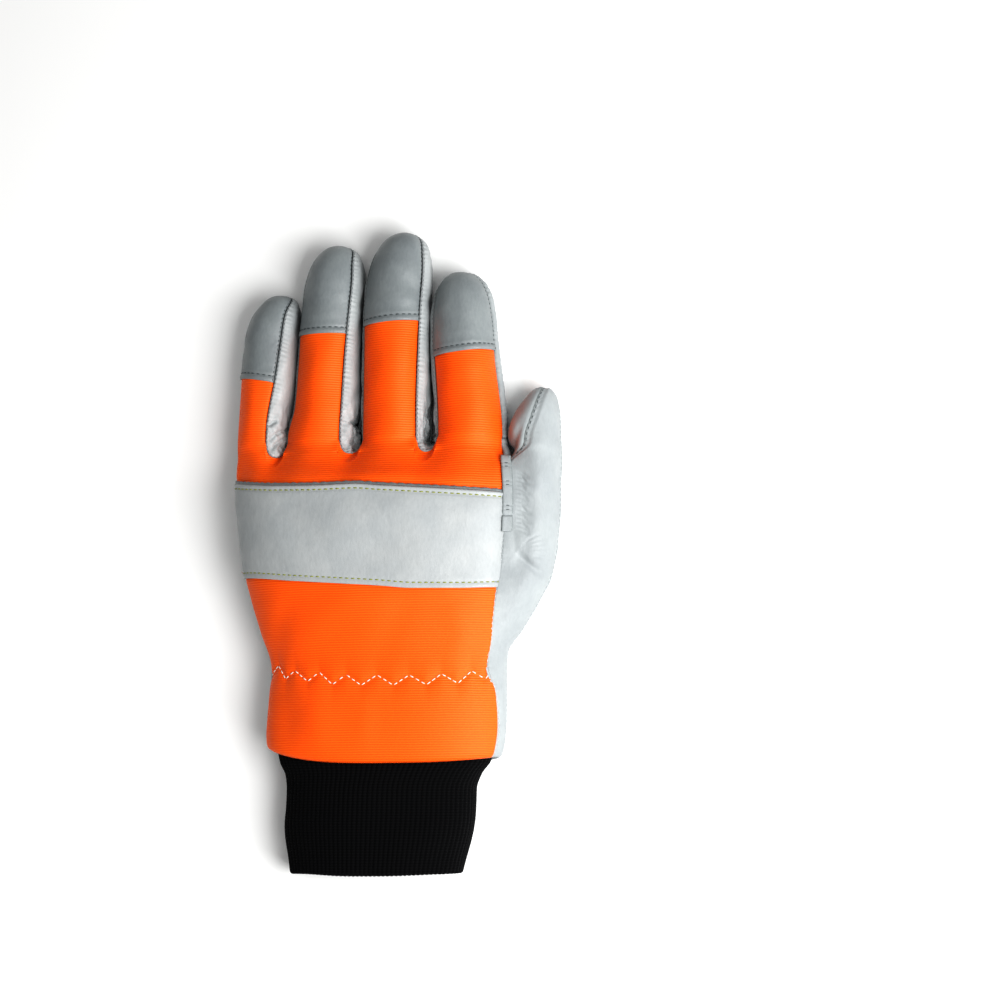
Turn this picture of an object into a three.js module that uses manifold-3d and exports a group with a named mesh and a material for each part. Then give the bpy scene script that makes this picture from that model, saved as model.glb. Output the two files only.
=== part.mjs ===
// A left-hand cut-protection work glove with a knitted wrist, lying palm down and holding the shape
// of the hand. It is cut and sewn from flat pieces: a palm of pale goat leather that runs on into
// the fronts of the fingers and thumb, a high-visibility cloth back in two pieces with a band across
// the knuckles between them, leather fingertip caps, three side strips between the fingers, the back
// of the thumb, a patch under the knuckles with its end lapped up the side, and a knit cuff.
// Millimetres. While it is drawn, X runs towards the thumb, Y from the cuff's edge to the fingertips
// and Z up.
import * as THREE from "three";
import { mergeVertices } from "three/addons/utils/BufferGeometryUtils.js";
import Module from "manifold-3d";

const wasm = await Module();
wasm.setup();

// Driving dimensions
const LENGTH = 270; // cuff hem to the tip of the middle finger
const WALL = 2.2; // leather or padded cloth with its backing
const PALM_WALL = 3; // palm leather with its lining, where it lies on the table
const CUFF_WALL = 2.5; // knit folded double
const GAP = 0.3; // between two sewn pieces
const SAG = 0.8; // how far a soft bottom is flattened by what it lies on
const PATCH_THICKNESS = 1.2;
const BAND_PROUD = 1; // the band is sewn on top of the back
const CROTCH = 178; // where the fingers part

// The hem runs lower over the middle of the back than at the sides
const HEM = { middle: 46, sides: 53, x: 7.2, half: 52 };

// Patch under the knuckles, how fast the palm rises over it, and how far up its sides reach
const PATCH = { from: 146, to: 176, ramp: 3, rise: 6 };

// Edges of the band at its two ends, which runs slightly downhill towards the thumb
const BAND = [
  { x: -80, low: 125.4, high: 164.0 },
  { x: 90, low: 118.4, high: 159.2 },
];

// The hand's sections: centre, half width and top height at each station, and how high the back's
// seam with the thumb side runs, as a share of the height
const BODY = [
  { y: 44, x: 7.2, half: 49.4, top: 30.4, seam: 0.66 },
  { y: 60, x: 7.5, half: 50.8, top: 33, seam: 0.65 },
  { y: 75, x: 8.3, half: 50.4, top: 33.5, seam: 0.67 },
  { y: 87, x: 8.7, half: 50.2, top: 33.5, seam: 0.74 },
  { y: 101, x: 7.2, half: 52.8, top: 35, seam: 0.7 },
  { y: 114, x: 5.7, half: 55.2, top: 36.3, seam: 0.67 },
  { y: 127, x: 4.4, half: 57.1, top: 37, seam: 0.62 },
  { y: 145, x: 3.9, half: 58.8, top: 37.5, seam: 0.62 },
  { y: 162, x: 3.2, half: 59.9, top: 35.5, seam: 0.63 },
  { y: 171, x: 2.4, half: 59.7, top: 31.5, seam: 0.63 },
  { y: 176, x: 1.9, half: 58.6, top: 27.5, seam: 0.6 },
  { y: 178, x: 1.8, half: 57.4, top: 25.5, seam: 0.6 },
];

// Each finger: its tip, the length of its rounded end, where its cap is hemmed, how far right of the
// middle the seam of its back runs as a share of the half width (the fingers lie a little rolled),
// and its sections
const FINGERS = {
  little: {
    tip: 245.4,
    dome: 21,
    capHem: 207.4,
    seam: 0.3,
    rows: [
      { y: 150, x: -43.4, half: 11.8, top: 24 },
      { y: 183, x: -45.6, half: 12.1, top: 23.5 },
      { y: 207, x: -44.7, half: 12.0, top: 22 },
      { y: 228, x: -43.3, half: 11.8, top: 21 },
      { y: 245.4, x: -39.6, half: 11.2, top: 20 },
    ],
  },
  ring: {
    tip: 265.6,
    dome: 22,
    capHem: 226.4,
    seam: 0.58,
    rows: [
      { y: 150, x: -18.4, half: 13.8, top: 26 },
      { y: 183, x: -18.2, half: 13.8, top: 25.5 },
      { y: 228, x: -17.3, half: 13.1, top: 23.5 },
      { y: 265.6, x: -14.2, half: 12.4, top: 21.5 },
    ],
  },
  middle: {
    tip: LENGTH,
    dome: 26,
    capHem: 230.2,
    seam: 0.72,
    rows: [
      { y: 150, x: 11.6, half: 14.5, top: 27 },
      { y: 183, x: 11.8, half: 14.5, top: 26.5 },
      { y: 233, x: 11.7, half: 14.0, top: 24.5 },
      { y: LENGTH, x: 14.6, half: 13.2, top: 22 },
    ],
  },
  index: {
    tip: 252,
    dome: 25,
    capHem: 216.6,
    seam: 1.2,
    rows: [
      { y: 150, x: 42.5, half: 14.3, top: 27 },
      { y: 183, x: 42.2, half: 14.4, top: 26 },
      { y: 220, x: 40.8, half: 13.6, top: 24 },
      { y: 252, x: 39.4, half: 12.8, top: 22 },
    ],
  },
};

// The thumb leaves the side of the palm and lies beside it, on edge
const THUMB = {
  tip: 202.4,
  dome: 22,
  crotch: 173,
  rows: [
    { y: 75, x: 36.0, half: 12, top: 24 },
    { y: 88, x: 43.2, half: 12.6, top: 26 },
    { y: 100, x: 50.6, half: 13, top: 28 },
    { y: 108, x: 55.6, half: 13, top: 28.5 },
    { y: 117, x: 61.4, half: 12.2, top: 29 },
    { y: 123, x: 65.4, half: 11.2, top: 29 },
    { y: 131.5, x: 68.4, half: 10.2, top: 28.5 },
    { y: 145, x: 71.2, half: 9, top: 27 },
    { y: 163, x: 72.2, half: 8.8, top: 26 },
    { y: 175, x: 71.6, half: 9.8, top: 26 },
    { y: 183, x: 70.2, half: 10.8, top: 25.5 },
    { y: 191.5, x: 71.6, half: 9.8, top: 24 },
    { y: 202.4, x: 74.4, half: 8.2, top: 21.4 },
  ],
};

// The web that joins the thumb to the side of the hand, low down between the two
const WEB = [
  { y: 84, x: 48, half: 8, top: 14 },
  { y: 110, x: 54, half: 12, top: 22 },
  { y: 130, x: 60, half: 12, top: 15 },
  { y: 145, x: 63, half: 9, top: 12 },
  { y: 174, x: 63, half: 7, top: 10 },
];

// The knit cuff: narrow below the hem, and spread inside the glove to the seam that holds it
const CUFF = [
  { y: 0, x: 2.7, half: 36.5, bottom: -SAG, top: 25.5 },
  { y: 5, x: 3.1, half: 37.3, bottom: -SAG, top: 26.2 },
  { y: 25, x: 4.4, half: 40.3, bottom: -SAG, top: 27.5 },
  { y: 36, x: 5.0, half: 40.2, bottom: 0.2, top: 27.5 },
  { y: 42, x: 6.2, half: 41.6, bottom: 1.8, top: 27.5 },
  { y: 47, x: 7.1, half: 44.8, bottom: 3.3, top: 27.6 },
  { y: 60, x: 7.5, half: 47.9, bottom: 3.4, top: 29.8 },
];

// How square a section is: 2 is an ellipse, more is squarer
const SQUARENESS = { finger: 2.3, body: 2.6, underside: 3.4 };
const MIDDLE = 0.45; // how high a section is widest, as a share of its height
const TIP_ROUNDING = { across: 2.5, high: 3 }; // 2 is an ellipse, more is blunter
// Heights of the other seams, as shares of a section's height
const SEAM = { bodyLeft: 0.5, fingerLeft: 0.56, front: 0.3, thumbOuter: 0.32 };
// Number of sides of a section
const SIDES = { body: 28, finger: 16, thumb: 16, cuff: 24, lining: 12 };
const HIGH = 60; // a height above the whole glove, for cutting tools

const COLOURS = {
  leather: 0xd3dadb,
  capLeather: 0x959d9e,
  cloth: 0xff6410,
  band: 0xb4babc,
  knit: 0x0b0b0c,
};

// Slope of a smooth curve through a column at row k, which never overshoots the rows
function slope(rows, name, k) {
  const secant = (i) =>
    (rows[i + 1][name] - rows[i][name]) / (rows[i + 1].y - rows[i].y);
  if (k === 0) return secant(0);
  if (k === rows.length - 1) return secant(k - 1);
  const before = secant(k - 1);
  const after = secant(k);
  return before * after <= 0 ? 0 : (2 * before * after) / (before + after);
}

// A column of a table at station y
function column(rows, name, y) {
  const last = rows.length - 1;
  const station = THREE.MathUtils.clamp(y, rows[0].y, rows[last].y);
  const k = Math.max(0, rows.findIndex((row) => row.y >= station) - 1);
  const step = rows[k + 1].y - rows[k].y;
  const t = (station - rows[k].y) / step;
  const a = slope(rows, name, k) * step;
  const b = slope(rows, name, k + 1) * step;
  const p = rows[k][name];
  const q = rows[k + 1][name];
  return (
    p * (2 * t ** 3 - 3 * t ** 2 + 1) +
    q * (3 * t ** 2 - 2 * t ** 3) +
    a * (t ** 3 - 2 * t ** 2 + t) +
    b * (t ** 3 - t ** 2)
  );
}

// How far the underside is lifted at station y, to lie over the patch
function underside(y) {
  const { smoothstep } = THREE.MathUtils;
  const over =
    smoothstep(y, PATCH.from - PATCH.ramp, PATCH.from) -
    smoothstep(y, PATCH.to, PATCH.to + PATCH.ramp);
  return -SAG + over * (PATCH_THICKNESS + GAP + SAG);
}

// Section of the hand at station y
function bodySection(y) {
  return {
    x: column(BODY, "x", y),
    half: column(BODY, "half", y),
    bottom: underside(y),
    top: column(BODY, "top", y),
  };
}

// Section of a finger or the thumb at station y; its rounded end closes on a superellipse
function digitSection(digit, y, lift = underside) {
  const reach = Math.max(0, (y - (digit.tip - digit.dome)) / digit.dome);
  const { across, high } = TIP_ROUNDING;
  const narrow = Math.max(0, 1 - reach ** across) ** (1 / across);
  const flat = Math.max(0, 1 - reach ** high) ** (1 / high);
  const bottom = lift(y);
  const top = column(digit.rows, "top", y);
  const middle = bottom + MIDDLE * (top - bottom);
  return {
    x: column(digit.rows, "x", y),
    half: column(digit.rows, "half", y) * narrow,
    bottom: middle - (middle - bottom) * flat,
    top: middle + (top - middle) * flat,
    reach: Math.min(1, reach),
  };
}

// The inside of a section, one wall in from it, with its floor at the lining
function inner(section) {
  return {
    ...section,
    half: Math.max(0.01, section.half - WALL),
    bottom: Math.max(PALM_WALL, section.bottom + WALL),
    top: section.top - WALL,
  };
}

// Points round a section, anticlockwise as seen from the cuff
function ring(y, section, sides, square, flat = SQUARENESS.underside) {
  const { x, half, bottom, top } = section;
  const middle = bottom + MIDDLE * (top - bottom);
  return Array.from({ length: sides }, (_, k) => {
    const angle = (2 * Math.PI * (k + 0.5)) / sides;
    const c = Math.cos(angle);
    const s = Math.sin(angle);
    const power = 2 / (s > 0 ? square : flat);
    const height = s > 0 ? top - middle : middle - bottom;
    return new THREE.Vector3(
      x + half * Math.sign(c) * Math.abs(c) ** power,
      y,
      middle + height * Math.sign(s) * Math.abs(s) ** power,
    );
  });
}

// Corner points of a cutting tool's section, anticlockwise as seen from the cuff
function corners(y, points) {
  return points.map(([x, z]) => new THREE.Vector3(x, y, z));
}

// A closed geometry through equal rings that follow each other along Y
function loft(rings) {
  const sides = rings[0].length;
  const middleOf = (points) =>
    points
      .reduce((sum, p) => sum.add(p), new THREE.Vector3())
      .divideScalar(sides);
  const points = [
    ...rings.flat(),
    middleOf(rings[0]),
    middleOf(rings[rings.length - 1]),
  ];
  const first = points.length - 2;
  const faces = [];
  for (let k = 0; k < sides; k += 1) {
    const next = (k + 1) % sides;
    const end = (rings.length - 1) * sides;
    faces.push(first, k, next, first + 1, end + next, end + k);
    for (let j = 0; j < end; j += sides) {
      faces.push(j + k, j + sides + k, j + sides + next);
      faces.push(j + k, j + sides + next, j + next);
    }
  }
  const geometry = new THREE.BufferGeometry().setFromPoints(points);
  return geometry.setIndex(faces);
}

// A solid from a closed geometry
function solidOf(geometry) {
  geometry.deleteAttribute("normal");
  geometry.deleteAttribute("uv");
  const merged = mergeVertices(geometry, 1e-4);
  return new wasm.Manifold(
    new wasm.Mesh({
      numProp: 3,
      vertProperties: merged.attributes.position.array,
      triVerts: new Uint32Array(merged.index.array),
    }),
  );
}

// The largest body of a solid: a seam that runs out to a point leaves crumbs, which are dropped
function largest(solid) {
  return solid.decompose().sort((a, b) => b.volume() - a.volume())[0];
}

const union = (solids) => solids.reduce((a, b) => a.add(b));

// A solid lofted through sections at the given stations
function lofted(stations, ringAt) {
  return solidOf(loft(stations.map(ringAt)));
}

// A block between two corners
function block(low, high) {
  const size = new THREE.Vector3().subVectors(high, low);
  const geometry = new THREE.BoxGeometry(size.x, size.y, size.z);
  const centre = new THREE.Vector3().addVectors(low, high).multiplyScalar(0.5);
  return solidOf(geometry.translate(centre.x, centre.y, centre.z));
}

// An upright prism over a polygon of XY points
function prism(points, low, high) {
  const shape = new THREE.Shape(points.map(([x, y]) => new THREE.Vector2(x, y)));
  const geometry = new THREE.ExtrudeGeometry(shape, {
    depth: high - low,
    bevelEnabled: false,
  });
  return solidOf(geometry.translate(0, 0, low));
}

const even = (from, to, steps) =>
  Array.from({ length: steps + 1 }, (_, k) => from + ((to - from) * k) / steps);

// Stations along a digit: even up to its rounded end, then closer and closer to the tip
function digitStations(digit, from, shaftSteps, tipSteps, short = 0) {
  const shoulder = digit.tip - digit.dome;
  const arc = even(0, Math.PI / 2, tipSteps).map(Math.sin);
  const end = digit.dome - short;
  return [
    ...even(from, shoulder, shaftSteps),
    ...arc.slice(1).map((s) => shoulder + end * s * 0.999),
  ];
}

const bodyStations = [
  ...even(BODY[0].y, PATCH.from - PATCH.ramp, 7),
  PATCH.from,
  155,
  163,
  169,
  173,
  176,
  CROTCH,
];
const ROOT = 158; // where the fingers' lofts start, inside the hand
const floorOnly = () => -SAG;

// A section grown all round, and further down onto the table
function grown(section, grow, down = 0) {
  return {
    ...section,
    half: section.half + grow,
    bottom: section.bottom - grow - down,
    top: section.top + grow,
  };
}

// Outside of the hand without its fingers
function bodyLoft(grow = 0, down = 0) {
  return lofted(bodyStations, (y) =>
    ring(y, grown(bodySection(y), grow, down), SIDES.body, SQUARENESS.body),
  );
}

// Outsides of the four fingers
function fingerLofts(grow = 0, down = 0) {
  return Object.values(FINGERS).map((finger) =>
    lofted(digitStations(finger, ROOT, 3, 5), (y) =>
      ring(
        y,
        grown(digitSection(finger, y), grow, down),
        SIDES.finger,
        SQUARENESS.finger,
      ),
    ),
  );
}

// Outside of the thumb and its web
function thumbLoft(grow = 0) {
  const digit = lofted(digitStations(THUMB, THUMB.rows[0].y, 9, 5), (y) =>
    ring(
      y,
      grown(digitSection(THUMB, y, floorOnly), grow),
      SIDES.thumb,
      SQUARENESS.finger,
    ),
  );
  const web = lofted(even(WEB[0].y, WEB[WEB.length - 1].y, 6), (y) => {
    const section = {
      x: column(WEB, "x", y),
      half: column(WEB, "half", y),
      bottom: floorOnly(),
      top: column(WEB, "top", y),
    };
    return ring(y, grown(section, grow), SIDES.thumb, SQUARENESS.finger);
  });
  return digit.add(web);
}

// Outside of the whole glove
function outside(grow = 0) {
  return union([bodyLoft(grow), ...fingerLofts(grow), thumbLoft(grow)]);
}

// The space for the hand, one wall inside, and open at the hem
function inside() {
  const cut = bodyStations.slice(1, -2);
  const body = lofted([36, ...cut, CROTCH - WALL], (y) =>
    ring(y, inner(bodySection(y)), SIDES.body, SQUARENESS.body),
  );
  const fingers = Object.values(FINGERS).map((finger) =>
    lofted(digitStations(finger, ROOT - 2, 3, 4, WALL), (y) =>
      ring(y, inner(digitSection(finger, y)), SIDES.lining, SQUARENESS.finger),
    ),
  );
  const from = THUMB.rows[0].y + 6;
  const thumb = lofted(digitStations(THUMB, from, 7, 4, WALL), (y) =>
    ring(
      y,
      inner(digitSection(THUMB, y, floorOnly)),
      SIDES.lining,
      SQUARENESS.finger,
    ),
  );
  return union([body, ...fingers, thumb]);
}

// Height of a seam on a finger: both seams meet where the tip closes
function fingerSeam(section, share) {
  const eased = THREE.MathUtils.lerp(share, SEAM.front, section.reach ** 3);
  return section.bottom + eased * (section.top - section.bottom);
}

// Everything above the seams that join the back to the rest, eased outwards by a distance
function backZone(ease) {
  const body = lofted([36, ...bodyStations.slice(1)], (y) => {
    const { x, half, bottom, top } = bodySection(y);
    const share = column(BODY, "seam", y);
    const rise = (share - MIDDLE) / (1 - MIDDLE);
    const out = (1 - rise ** SQUARENESS.body) ** (1 / SQUARENESS.body);
    const edge = x + half * out + 0.2 + ease;
    return corners(y, [
      [edge, bottom + share * (top - bottom) - ease],
      [edge, HIGH],
      [x - half - 4, HIGH],
      [x - half - 4, bottom + SEAM.bodyLeft * (top - bottom) - ease],
    ]);
  });
  const fingers = Object.values(FINGERS).map((finger) => {
    const stations = [
      ...digitStations(finger, CROTCH - 2, 3, 5),
      finger.tip + 2,
    ];
    return lofted(stations, (y) => {
      const section = digitSection(finger, Math.min(y, finger.tip));
      const full = column(finger.rows, "half", y) + 0.6;
      const low = fingerSeam(section, SEAM.fingerLeft) - ease;
      const share = Math.max(
        finger.seam,
        THREE.MathUtils.lerp(finger.seam, 0.8, section.reach ** 2),
      );
      const right = section.x + share * section.half + ease;
      return corners(y, [
        [right, low],
        [right, HIGH],
        [section.x - full, HIGH],
        [section.x - full, low],
      ]);
    });
  });
  return union([body, ...fingers]);
}

// Side walls between two neighbouring fingers, from the front seam up
function stripZone(finger, next, ease) {
  const end = Math.max(finger.tip, next.tip);
  const stations = [CROTCH - 6, ...even(CROTCH + 4, end, 9)];
  return lofted(stations, (y) => {
    const a = digitSection(finger, Math.min(y, finger.tip));
    const b = digitSection(next, Math.min(y, next.tip));
    const low = Math.min(
      y < finger.tip ? fingerSeam(a, SEAM.front) : HIGH,
      y < next.tip ? fingerSeam(b, SEAM.front) : HIGH,
    );
    const floor = Math.min(low, HIGH / 3) - ease;
    return corners(y, [
      [b.x, floor],
      [b.x, HIGH],
      [a.x, HIGH],
      [a.x, floor],
    ]);
  });
}

// The back of the thumb and the side of the hand below it
function thumbZone(ease) {
  const side = lofted([36, ...even(60, THUMB.crotch, 8)], (y) => {
    const { x, half, bottom, top } = bodySection(y);
    const low = bottom + SEAM.thumbOuter * (top - bottom) - ease;
    return corners(y, [
      [x + half + 30, low],
      [x + half + 30, HIGH],
      [x + half * 0.7 - ease, HIGH],
      [x + half * 0.7 - ease, low],
    ]);
  });
  const tipStations = [
    THUMB.crotch - 6,
    ...digitStations(THUMB, THUMB.crotch + 2, 2, 5).slice(0, -1),
    THUMB.tip + 2,
  ];
  const digit = lofted(tipStations, (y) => {
    const section = digitSection(THUMB, Math.min(y, THUMB.tip), floorOnly);
    const height = section.top - section.bottom;
    const full = column(THUMB.rows, "half", y);
    const away = THREE.MathUtils.smoothstep(y, THUMB.crotch, 187);
    const left = section.x - full * THREE.MathUtils.lerp(0.65, 0.15, away);
    const low = section.bottom + SEAM.thumbOuter * height - ease;
    return corners(y, [
      [section.x + full + 5, low],
      [section.x + full + 5, HIGH],
      [left - ease, HIGH],
      [left - ease, section.bottom + 0.6 * height - ease],
    ]);
  });
  return side.add(digit);
}

// Everything over the band across the knuckles
function bandZone(ease) {
  const [left, right] = BAND;
  return prism(
    [
      [left.x, left.low - ease],
      [right.x, right.low - ease],
      [right.x, right.high + ease],
      [left.x, left.high + ease],
    ],
    0,
    HIGH,
  );
}

// Everything over a fingertip, from its cap's hem on
function capZone(finger, ease) {
  const from = finger.capHem + GAP / 2 - ease;
  const stations = [...digitStations(finger, from, 1, 2), finger.tip + 2];
  return lofted(stations, (y) => {
    const x = column(finger.rows, "x", y);
    const half = column(finger.rows, "half", y) + 0.6;
    return corners(y, [
      [x + half, 0],
      [x + half, HIGH],
      [x - half, HIGH],
      [x - half, 0],
    ]);
  });
}

// What is cut away below the curved hem
function belowHem() {
  const { middle, sides, x, half } = HEM;
  const edge = even(-1.3, 1.3, 12).map((u) => [
    x + u * half,
    Math.min(middle + (sides - middle) * Math.abs(u) ** 3, 60),
  ]);
  return prism([[-90, 20], [110, 20], ...edge.reverse()], -5, HIGH);
}

// What lies below the table's surface
const table = block(
  new THREE.Vector3(-120, -60, -20),
  new THREE.Vector3(140, LENGTH + 60, 0),
);
const hand = outside().subtract(table).subtract(belowHem());
const hollow = inside();
const solids = {};
let rest = hand.subtract(hollow);

// Cuts a zone out of what is left of the hand
function take(zone) {
  const piece = rest.intersect(zone(0));
  rest = rest.subtract(zone(GAP));
  return piece;
}

// The back: caps first, then the cloth above and below the band, then the band itself
function cutBack() {
  let cloth = take(backZone);
  Object.entries(FINGERS).forEach(([name, finger]) => {
    solids[`cap_${name}`] = largest(cloth.intersect(capZone(finger, 0)));
    cloth = cloth.subtract(capZone(finger, GAP));
  });
  cloth = cloth.subtract(bandZone(GAP));
  const above = block(
    new THREE.Vector3(-90, 145, 0),
    new THREE.Vector3(90, LENGTH, HIGH),
  );
  solids.back_upper = largest(cloth.intersect(above));
  solids.back_lower = largest(cloth.subtract(above));
  const proud = bodyLoft(BAND_PROUD).intersect(backZone(0)).subtract(hollow);
  solids.knuckle_band = largest(proud.intersect(bandZone(0)));
}

// The strips between the fingers
function cutStrips() {
  const names = Object.keys(FINGERS);
  names.slice(1).forEach((name, k) => {
    const zone = (ease) => stripZone(FINGERS[names[k]], FINGERS[name], ease);
    solids[`side_strip_${names[k]}_${name}`] = largest(take(zone));
  });
}

// The patch lies under the knuckles, and its end laps up the thumb side of the hand, above the web
function cutPatch() {
  const out = PATCH_THICKNESS + GAP;
  const sleeve = union([bodyLoft(out, SAG), ...fingerLofts(out, SAG)])
    .subtract(outside(GAP))
    .subtract(backZone(GAP))
    .subtract(table);
  const under = block(
    new THREE.Vector3(-80, PATCH.from, 0),
    new THREE.Vector3(80, PATCH.to, PATCH.rise),
  );
  const side = block(
    new THREE.Vector3(50, PATCH.from, PATCH.rise + GAP),
    new THREE.Vector3(80, PATCH.to, HIGH),
  );
  solids.palm_patch = largest(sleeve.intersect(under));
  solids.patch_end = largest(sleeve.intersect(side));
}

// The knit cuff is a tube of its own
function makeCuff() {
  const ys = [0, 5, 25, 35, 42, 47, 60];
  const at = (y, grow) => ({
    x: column(CUFF, "x", y),
    half: column(CUFF, "half", y) + grow,
    bottom: column(CUFF, "bottom", y) - grow,
    top: column(CUFF, "top", y) + grow,
  });
  const outer = lofted(ys, (y) =>
    ring(y, at(y, 0), SIDES.cuff, SQUARENESS.finger),
  );
  const bore = lofted([-4, ...ys.slice(1, -1), 64], (y) =>
    ring(y, at(y, -CUFF_WALL), SIDES.cuff, SQUARENESS.finger),
  );
  solids.knit_cuff = outer.subtract(bore).subtract(table);
}

cutBack();
cutStrips();
solids.thumb_back = largest(take(thumbZone));
solids.palm_leather = largest(rest);
cutPatch();
makeCuff();

// Finishes
function material(colour, roughness) {
  return new THREE.MeshStandardMaterial({
    color: colour,
    roughness,
    metalness: 0,
  });
}

const MATERIALS = {
  leather: material(COLOURS.leather, 0.62),
  capLeather: material(COLOURS.capLeather, 0.6),
  cloth: material(COLOURS.cloth, 0.85),
  band: material(COLOURS.band, 0.45),
  knit: material(COLOURS.knit, 0.95),
};

function finishOf(name) {
  if (name.startsWith("cap_")) return MATERIALS.capLeather;
  if (name.startsWith("back_")) return MATERIALS.cloth;
  if (name === "knuckle_band") return MATERIALS.band;
  if (name === "knit_cuff") return MATERIALS.knit;
  return MATERIALS.leather;
}

// A named mesh of a solid
function meshOf(name, solid) {
  const { vertProperties, triVerts } = solid.getMesh();
  const geometry = new THREE.BufferGeometry();
  geometry.setAttribute(
    "position",
    new THREE.Float32BufferAttribute(vertProperties, 3),
  );
  geometry.setIndex(Array.from(triVerts));
  geometry.computeVertexNormals();
  const mesh = new THREE.Mesh(geometry, finishOf(name));
  mesh.name = name;
  return mesh;
}

// The group's origin is under the middle of the glove, on the table
const glove = new THREE.Group();
Object.entries(solids).forEach(([name, solid]) =>
  glove.add(meshOf(name, solid)),
);
const bounds = new THREE.Box3().setFromObject(glove);
const centre = bounds.getCenter(new THREE.Vector3());
glove.children.forEach((mesh) =>
  mesh.position.set(-centre.x, -centre.y, 0),
);

export default glove;
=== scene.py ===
"""Looks of a left-hand cut-protection work glove with a knitted wrist, lying palm down.

Every piece of leather, cloth and knit is a surface worked out with numpy from the same tables of
sections as the solids it stands for: a grid of points between its seams, which are turned in,
puckered and creased, and then given a wall. While a piece is worked out its sizes are millimetres
in the drawing's frame: X towards the thumb, Y from the cuff's edge to the fingertips, Z up.
"""

from __future__ import annotations

import logging
import math
from dataclasses import dataclass
from enum import Enum
from typing import Callable, Iterable, Sequence

import bmesh
import bpy
import numpy as np
from mathutils import Matrix, Vector


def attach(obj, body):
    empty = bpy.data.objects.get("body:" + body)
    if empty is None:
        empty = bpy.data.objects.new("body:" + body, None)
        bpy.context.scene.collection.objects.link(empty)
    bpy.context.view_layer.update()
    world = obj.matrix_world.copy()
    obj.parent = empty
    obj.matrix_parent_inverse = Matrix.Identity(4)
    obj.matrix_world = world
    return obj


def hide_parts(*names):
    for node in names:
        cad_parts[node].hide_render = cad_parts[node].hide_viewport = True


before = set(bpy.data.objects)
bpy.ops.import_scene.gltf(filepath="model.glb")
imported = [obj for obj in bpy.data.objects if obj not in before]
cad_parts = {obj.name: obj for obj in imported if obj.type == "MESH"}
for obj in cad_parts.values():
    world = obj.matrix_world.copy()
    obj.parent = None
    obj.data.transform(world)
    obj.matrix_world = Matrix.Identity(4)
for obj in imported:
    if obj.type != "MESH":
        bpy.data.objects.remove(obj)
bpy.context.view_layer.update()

Array = np.ndarray
Socket = bpy.types.NodeSocket
Material = bpy.types.Material
Mesh = bpy.types.Mesh
Edge = Callable[[Array], Array]  # the station of an edge across the hand, over x
Line = Sequence[tuple[float, float]]  # x and y of its corners in plan
log = logging.getLogger("work_glove")

# Sizes shared by every piece, in millimetres

METRE = 0.001
ORIGIN = np.array([11.183, 134.987, 0.0])  # middle of the glove on the table, in the drawing's frame
LENGTH = 270.0
SAG = 0.8  # how far a soft underside would sink below the table, and is flattened instead
MIDDLE = 0.45  # how high a section is widest, as a share of its height
FINGER_POWER = 2.1  # how square a finger's section is on top: 2 is an ellipse, more is squarer
BODY_POWER = 2.25  # the same for the hand
UNDER_POWER = 3.4  # and for every underside
TIP_ACROSS = 2.5  # how blunt a fingertip is in plan
TIP_HIGH = 3.0  # and seen from the side
PATCH_FROM = 144.8  # near and far edge of the patch below the knuckles
PATCH_TO = 176.2
BASE_SEAM = 176.8  # where the fronts of the fingers are sewn to the palm
OUTER_SEAM = 0.32  # of the back of the thumb: share of the height on its outer side


class Border(Enum):
    """The four borders of a grid of points: its first and last rows, its first and last columns."""

    START = "start"
    END = "end"
    FIRST = "first"
    LAST = "last"


SIDES = (Border.FIRST, Border.LAST)


# Curves and sections


def ease(value: Array, low: float, high: float) -> Array:
    """A smooth step from 0 at low to 1 at high."""
    t = np.clip((value - low) / (high - low), 0, 1)
    return t * t * (3 - 2 * t)


def bell(value: Array) -> Array:
    """A bell curve, 1 at nought and a hundredth at 2.1: e to the power of minus the square."""
    return np.exp(-(value**2))


def mix(a: Array, b: Array, share: Array) -> Array:
    """The point that lies a share of the way from a to b."""
    return a + (b - a) * share


class Table:
    """A short table with named columns, read between its rows by a curve that never overshoots.

    Between two rows a column is the cubic through both values whose slopes there are the harmonic
    means of the slopes on either side.
    """

    def __init__(self, names: str, rows: Sequence[Sequence[float]]) -> None:
        """Keeps the columns.

        Args:
            names: column names, the station first, parted by spaces.
            rows: one row of numbers for each station, in rising order.
        """
        columns = np.array(rows, float).T
        self.stations = columns[0]
        self.columns = dict(zip(names.split()[1:], columns[1:]))

    def at(self, name: str, station: Array) -> Array:
        """Value of a column at the given stations.

        Args:
            name: the column.
            station: places along the table, held to its ends.

        Returns:
            The column's values, in the shape of station.
        """
        knots, values = self.stations, self.columns[name]
        secant = np.diff(values) / np.diff(knots)
        product = secant[:-1] * secant[1:]
        total = np.where(product > 0, secant[:-1] + secant[1:], 1)
        inner = np.where(product > 0, 2 * product / total, 0)
        slope = np.concatenate([secant[:1], inner, secant[-1:]])
        y = np.clip(np.asarray(station, float), knots[0], knots[-1])
        k = np.clip(np.searchsorted(knots, y, "left") - 1, 0, len(knots) - 2)
        step = knots[k + 1] - knots[k]
        t = (y - knots[k]) / step
        return (
            values[k] * (2 * t**3 - 3 * t**2 + 1)
            + values[k + 1] * (3 * t**2 - 2 * t**3)
            + slope[k] * step * (t**3 - 2 * t**2 + t)
            + slope[k + 1] * step * (t**3 - t**2)
        )


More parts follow.
